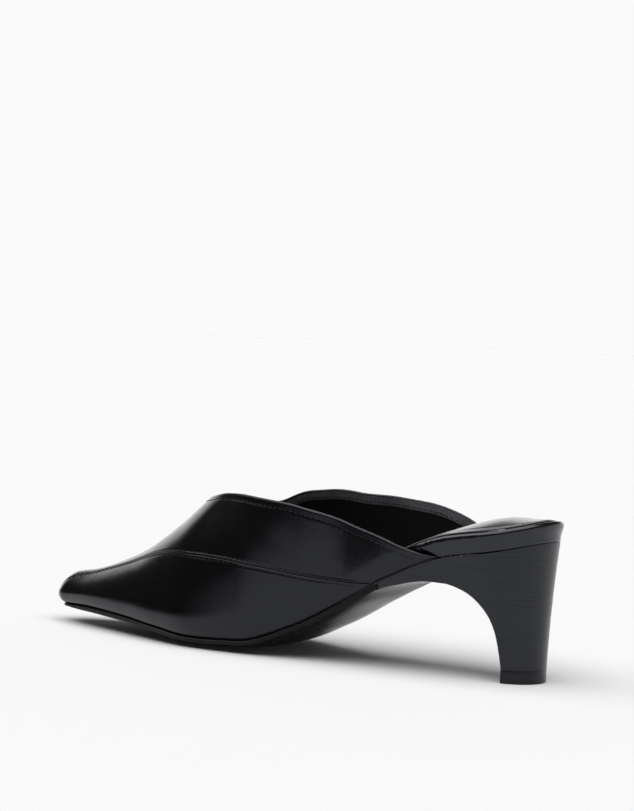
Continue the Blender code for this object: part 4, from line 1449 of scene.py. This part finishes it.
# %% Studio
scene = bpy.context.scene
scene.view_settings.view_transform = "Standard"
scene.view_settings.look = "None"
CAMERA_TURN = math.radians(32.37323)
SKY_STRENGTH = 2.5
ROOM = 0.955 / SKY_STRENGTH
SHADE = 0.12 * ROOM
PANEL = 3.0 / SKY_STRENGTH
SIDE_PANEL = 1.4 / SKY_STRENGTH

world = bpy.data.worlds.new("studio")
scene.world = world
world.use_nodes = True
sky = world.node_tree
sky.nodes.clear()


def ramp(tree, value, stops):
    node = tree.nodes.new("ShaderNodeValToRGB")
    node.color_ramp.interpolation = "EASE"
    marks = node.color_ramp.elements
    while len(marks) < len(stops):
        marks.new(0.5)
    for mark, (at, level) in zip(marks, stops):
        mark.position = at
        mark.color = (level, level, level, 1.0)
    tree.links.new(value, node.inputs["Fac"])
    return node.outputs["Color"]


place = sky.nodes.new("ShaderNodeTexCoord")
split = sky.nodes.new("ShaderNodeSeparateXYZ")
sky.links.new(place.outputs["Generated"], split.inputs["Vector"])
height = split.outputs["Z"]


def level_sum(tree, split, by_x, by_y):
    """X and Y, each times a number or a socket, added up."""
    return math_node(tree, "ADD", math_node(tree, "MULTIPLY", split.outputs["X"], by_x),
                     math_node(tree, "MULTIPLY", split.outputs["Y"], by_y))


sideways = math_node(sky, "SQRT", level_sum(sky, split, split.outputs["X"], split.outputs["Y"]))
sideways = math_node(sky, "MAXIMUM", sideways, 0.001)


def faces_turn(degrees):
    """Cosine between a direction's level part and a turn from the near side toward the heel."""
    turn = math.radians(degrees)
    level = level_sum(sky, split, math.sin(turn), -math.cos(turn))
    return math_node(sky, "DIVIDE", level, sideways)


def step_mask(tree, value, low, high):
    """0 below the low value, 1 above the high one."""
    above = math_node(tree, "SUBTRACT", value, low)
    return math_node(tree, "DIVIDE", above, high - low, clamp=True)


def mixed(tree, mask, first, second):
    """A colour mixed with another one, which is a socket or a grey level."""
    node = tree.nodes.new("ShaderNodeMix")
    node.data_type = "RGBA"
    tree.links.new(mask, node.inputs["Factor"])
    tree.links.new(first, node.inputs["A"])
    if isinstance(second, float):
        node.inputs["B"].default_value = (second, second, second, 1.0)
    else:
        tree.links.new(second, node.inputs["B"])
    return node.outputs["Result"]


# Each part of the sky: its turn from the near side, the cosines where it begins and is full, and
# its grey levels by the sine of the height.
SKY_PARTS = [
    (10, -0.30, 0.10,
     [(0.0, ROOM), (0.12, ROOM), (0.21, 0.03), (0.54, 0.03), (0.66, PANEL), (1.0, PANEL)]),
    (-140, 0.70, 0.80,
     [(0.0, SIDE_PANEL), (0.34, SIDE_PANEL), (0.48, SHADE), (0.86, SHADE), (0.98, PANEL),
      (1.0, PANEL)]),
    (-68, 0.72, 0.77,
     [(0.0, 0.02), (0.54, 0.02), (0.66, PANEL), (1.0, PANEL)])]
BACK_SKY = [(0.0, ROOM), (0.16, ROOM), (0.26, SHADE), (0.86, SHADE), (0.98, PANEL), (1.0, PANEL)]

blend = ramp(sky, height, BACK_SKY)
for turn, low, high, stops in SKY_PARTS:
    blend = mixed(sky, step_mask(sky, faces_turn(turn), low, high), blend, ramp(sky, height, stops))
eye = sky.nodes.new("ShaderNodeLightPath")
blend = mixed(sky, eye.outputs["Is Camera Ray"], blend, ROOM)
background = sky.nodes.new("ShaderNodeBackground")
sky.links.new(blend, background.inputs["Color"])
background.inputs["Strength"].default_value = SKY_STRENGTH
output = sky.nodes.new("ShaderNodeOutputWorld")
sky.links.new(background.outputs["Background"], output.inputs["Surface"])
print("studio set, camera at azimuth", round(math.degrees(CAMERA_TURN), 2))

# %% [markdown]
# The floor is one pale sheet that runs to the horizon and is as bright there as the room behind
# it, so no line shows. Only its shadows tell that it is there. A dark card lies on it to the left
# of the shoe, where reflections alone can find it: it carries the black of the screen down below
# the horizon, as seen on the side of the toe.

# %% Floor
CARD_EDGE = (-0.75, -0.66)
CARD_AWAY = 0.110
CARD_TURN = (-0.94, 0.342)
CARD_FRONT = 0.015
CARD_BACK = -0.045
CARD_SOFT = 0.012
CARD_GREY = 0.02


def pale_floor():
    material, tree, shader = new_material("pale_floor")
    mottle = noise_node(tree, stretched_place(tree), 6.0, 2.0, 0.5)
    pale = tint(tree, mottle, (0.656, 0.656, 0.656), (0.666, 0.666, 0.666))
    place = tree.nodes.new("ShaderNodeTexCoord")
    split = tree.nodes.new("ShaderNodeSeparateXYZ")
    tree.links.new(place.outputs["Object"], split.inputs["Vector"])
    aside = step_mask(tree, level_sum(tree, split, *CARD_EDGE), CARD_AWAY, CARD_AWAY + CARD_SOFT)
    behind = step_mask(tree, level_sum(tree, split, *CARD_TURN), CARD_FRONT, CARD_FRONT + CARD_SOFT)
    before = math_node(tree, "SUBTRACT", CARD_BACK, split.outputs["Y"])
    before = math_node(tree, "DIVIDE", before, CARD_SOFT, clamp=True)
    ray = tree.nodes.new("ShaderNodeLightPath")
    card = math_node(tree, "MULTIPLY", math_node(tree, "MULTIPLY", aside, behind),
                     math_node(tree, "MULTIPLY", before, ray.outputs["Is Glossy Ray"]))
    tree.links.new(mixed(tree, card, pale, CARD_GREY), shader.inputs["Base Color"])
    shader.inputs["Roughness"].default_value = 1.0
    shader.inputs["Specular IOR Level"].default_value = 0.0
    return material


FLOOR_REACH = 60.0

mesh = bpy.data.meshes.new("floor")
corners = ((-1, -1), (1, -1), (1, 1), (-1, 1))
mesh.from_pydata([(x * FLOOR_REACH, y * FLOOR_REACH, 0) for x, y in corners], [], [(0, 1, 2, 3)])
mesh.materials.append(pale_floor())
floor = bpy.data.objects.new("floor", mesh)
scene.collection.objects.link(floor)
floor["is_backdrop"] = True

# %% [markdown]
# The camera stands low and far off, as for a product picture, and is tipped by a few degrees. Its
# place and angle were worked out from the outline of the shoe in the photograph.

# %% Camera
CAMERA_PLACE = Vector((0.56461, -0.87799, 0.14502))
CAMERA_PITCH = math.radians(1.76318)
CAMERA_ROLL = math.radians(2.78801)
FOCAL_PIXELS = 2270.46511
IMAGE_WIDTH = 634

back_axis = Vector((math.sin(CAMERA_TURN) * math.cos(CAMERA_PITCH),
                    -math.cos(CAMERA_TURN) * math.cos(CAMERA_PITCH), math.sin(CAMERA_PITCH)))
level_axis = Vector((math.cos(CAMERA_TURN), math.sin(CAMERA_TURN), 0.0))
upright = back_axis.cross(level_axis)
right_axis = level_axis * math.cos(CAMERA_ROLL) + upright * math.sin(CAMERA_ROLL)
up_axis = upright * math.cos(CAMERA_ROLL) - level_axis * math.sin(CAMERA_ROLL)
lens = bpy.data.cameras.new("camera")
lens.sensor_fit = "HORIZONTAL"
lens.sensor_width = 36.0
lens.lens = FOCAL_PIXELS / IMAGE_WIDTH * lens.sensor_width
lens.clip_start = 0.01
lens.clip_end = 200.0
camera = bpy.data.objects.new("camera", lens)
scene.collection.objects.link(camera)
camera.matrix_world = Matrix.Translation(CAMERA_PLACE) @ Matrix(
    (right_axis, up_axis, back_axis)).transposed().to_4x4()
scene.camera = camera
print("focal length", round(lens.lens, 2), "mm")

# %% [markdown]
# The last step prints the size of the dressed shoe.

# %% Sizes and finish
low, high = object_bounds()
print("dressed size in mm:", [round((b - a) / MM, 1) for a, b in zip(low, high)])
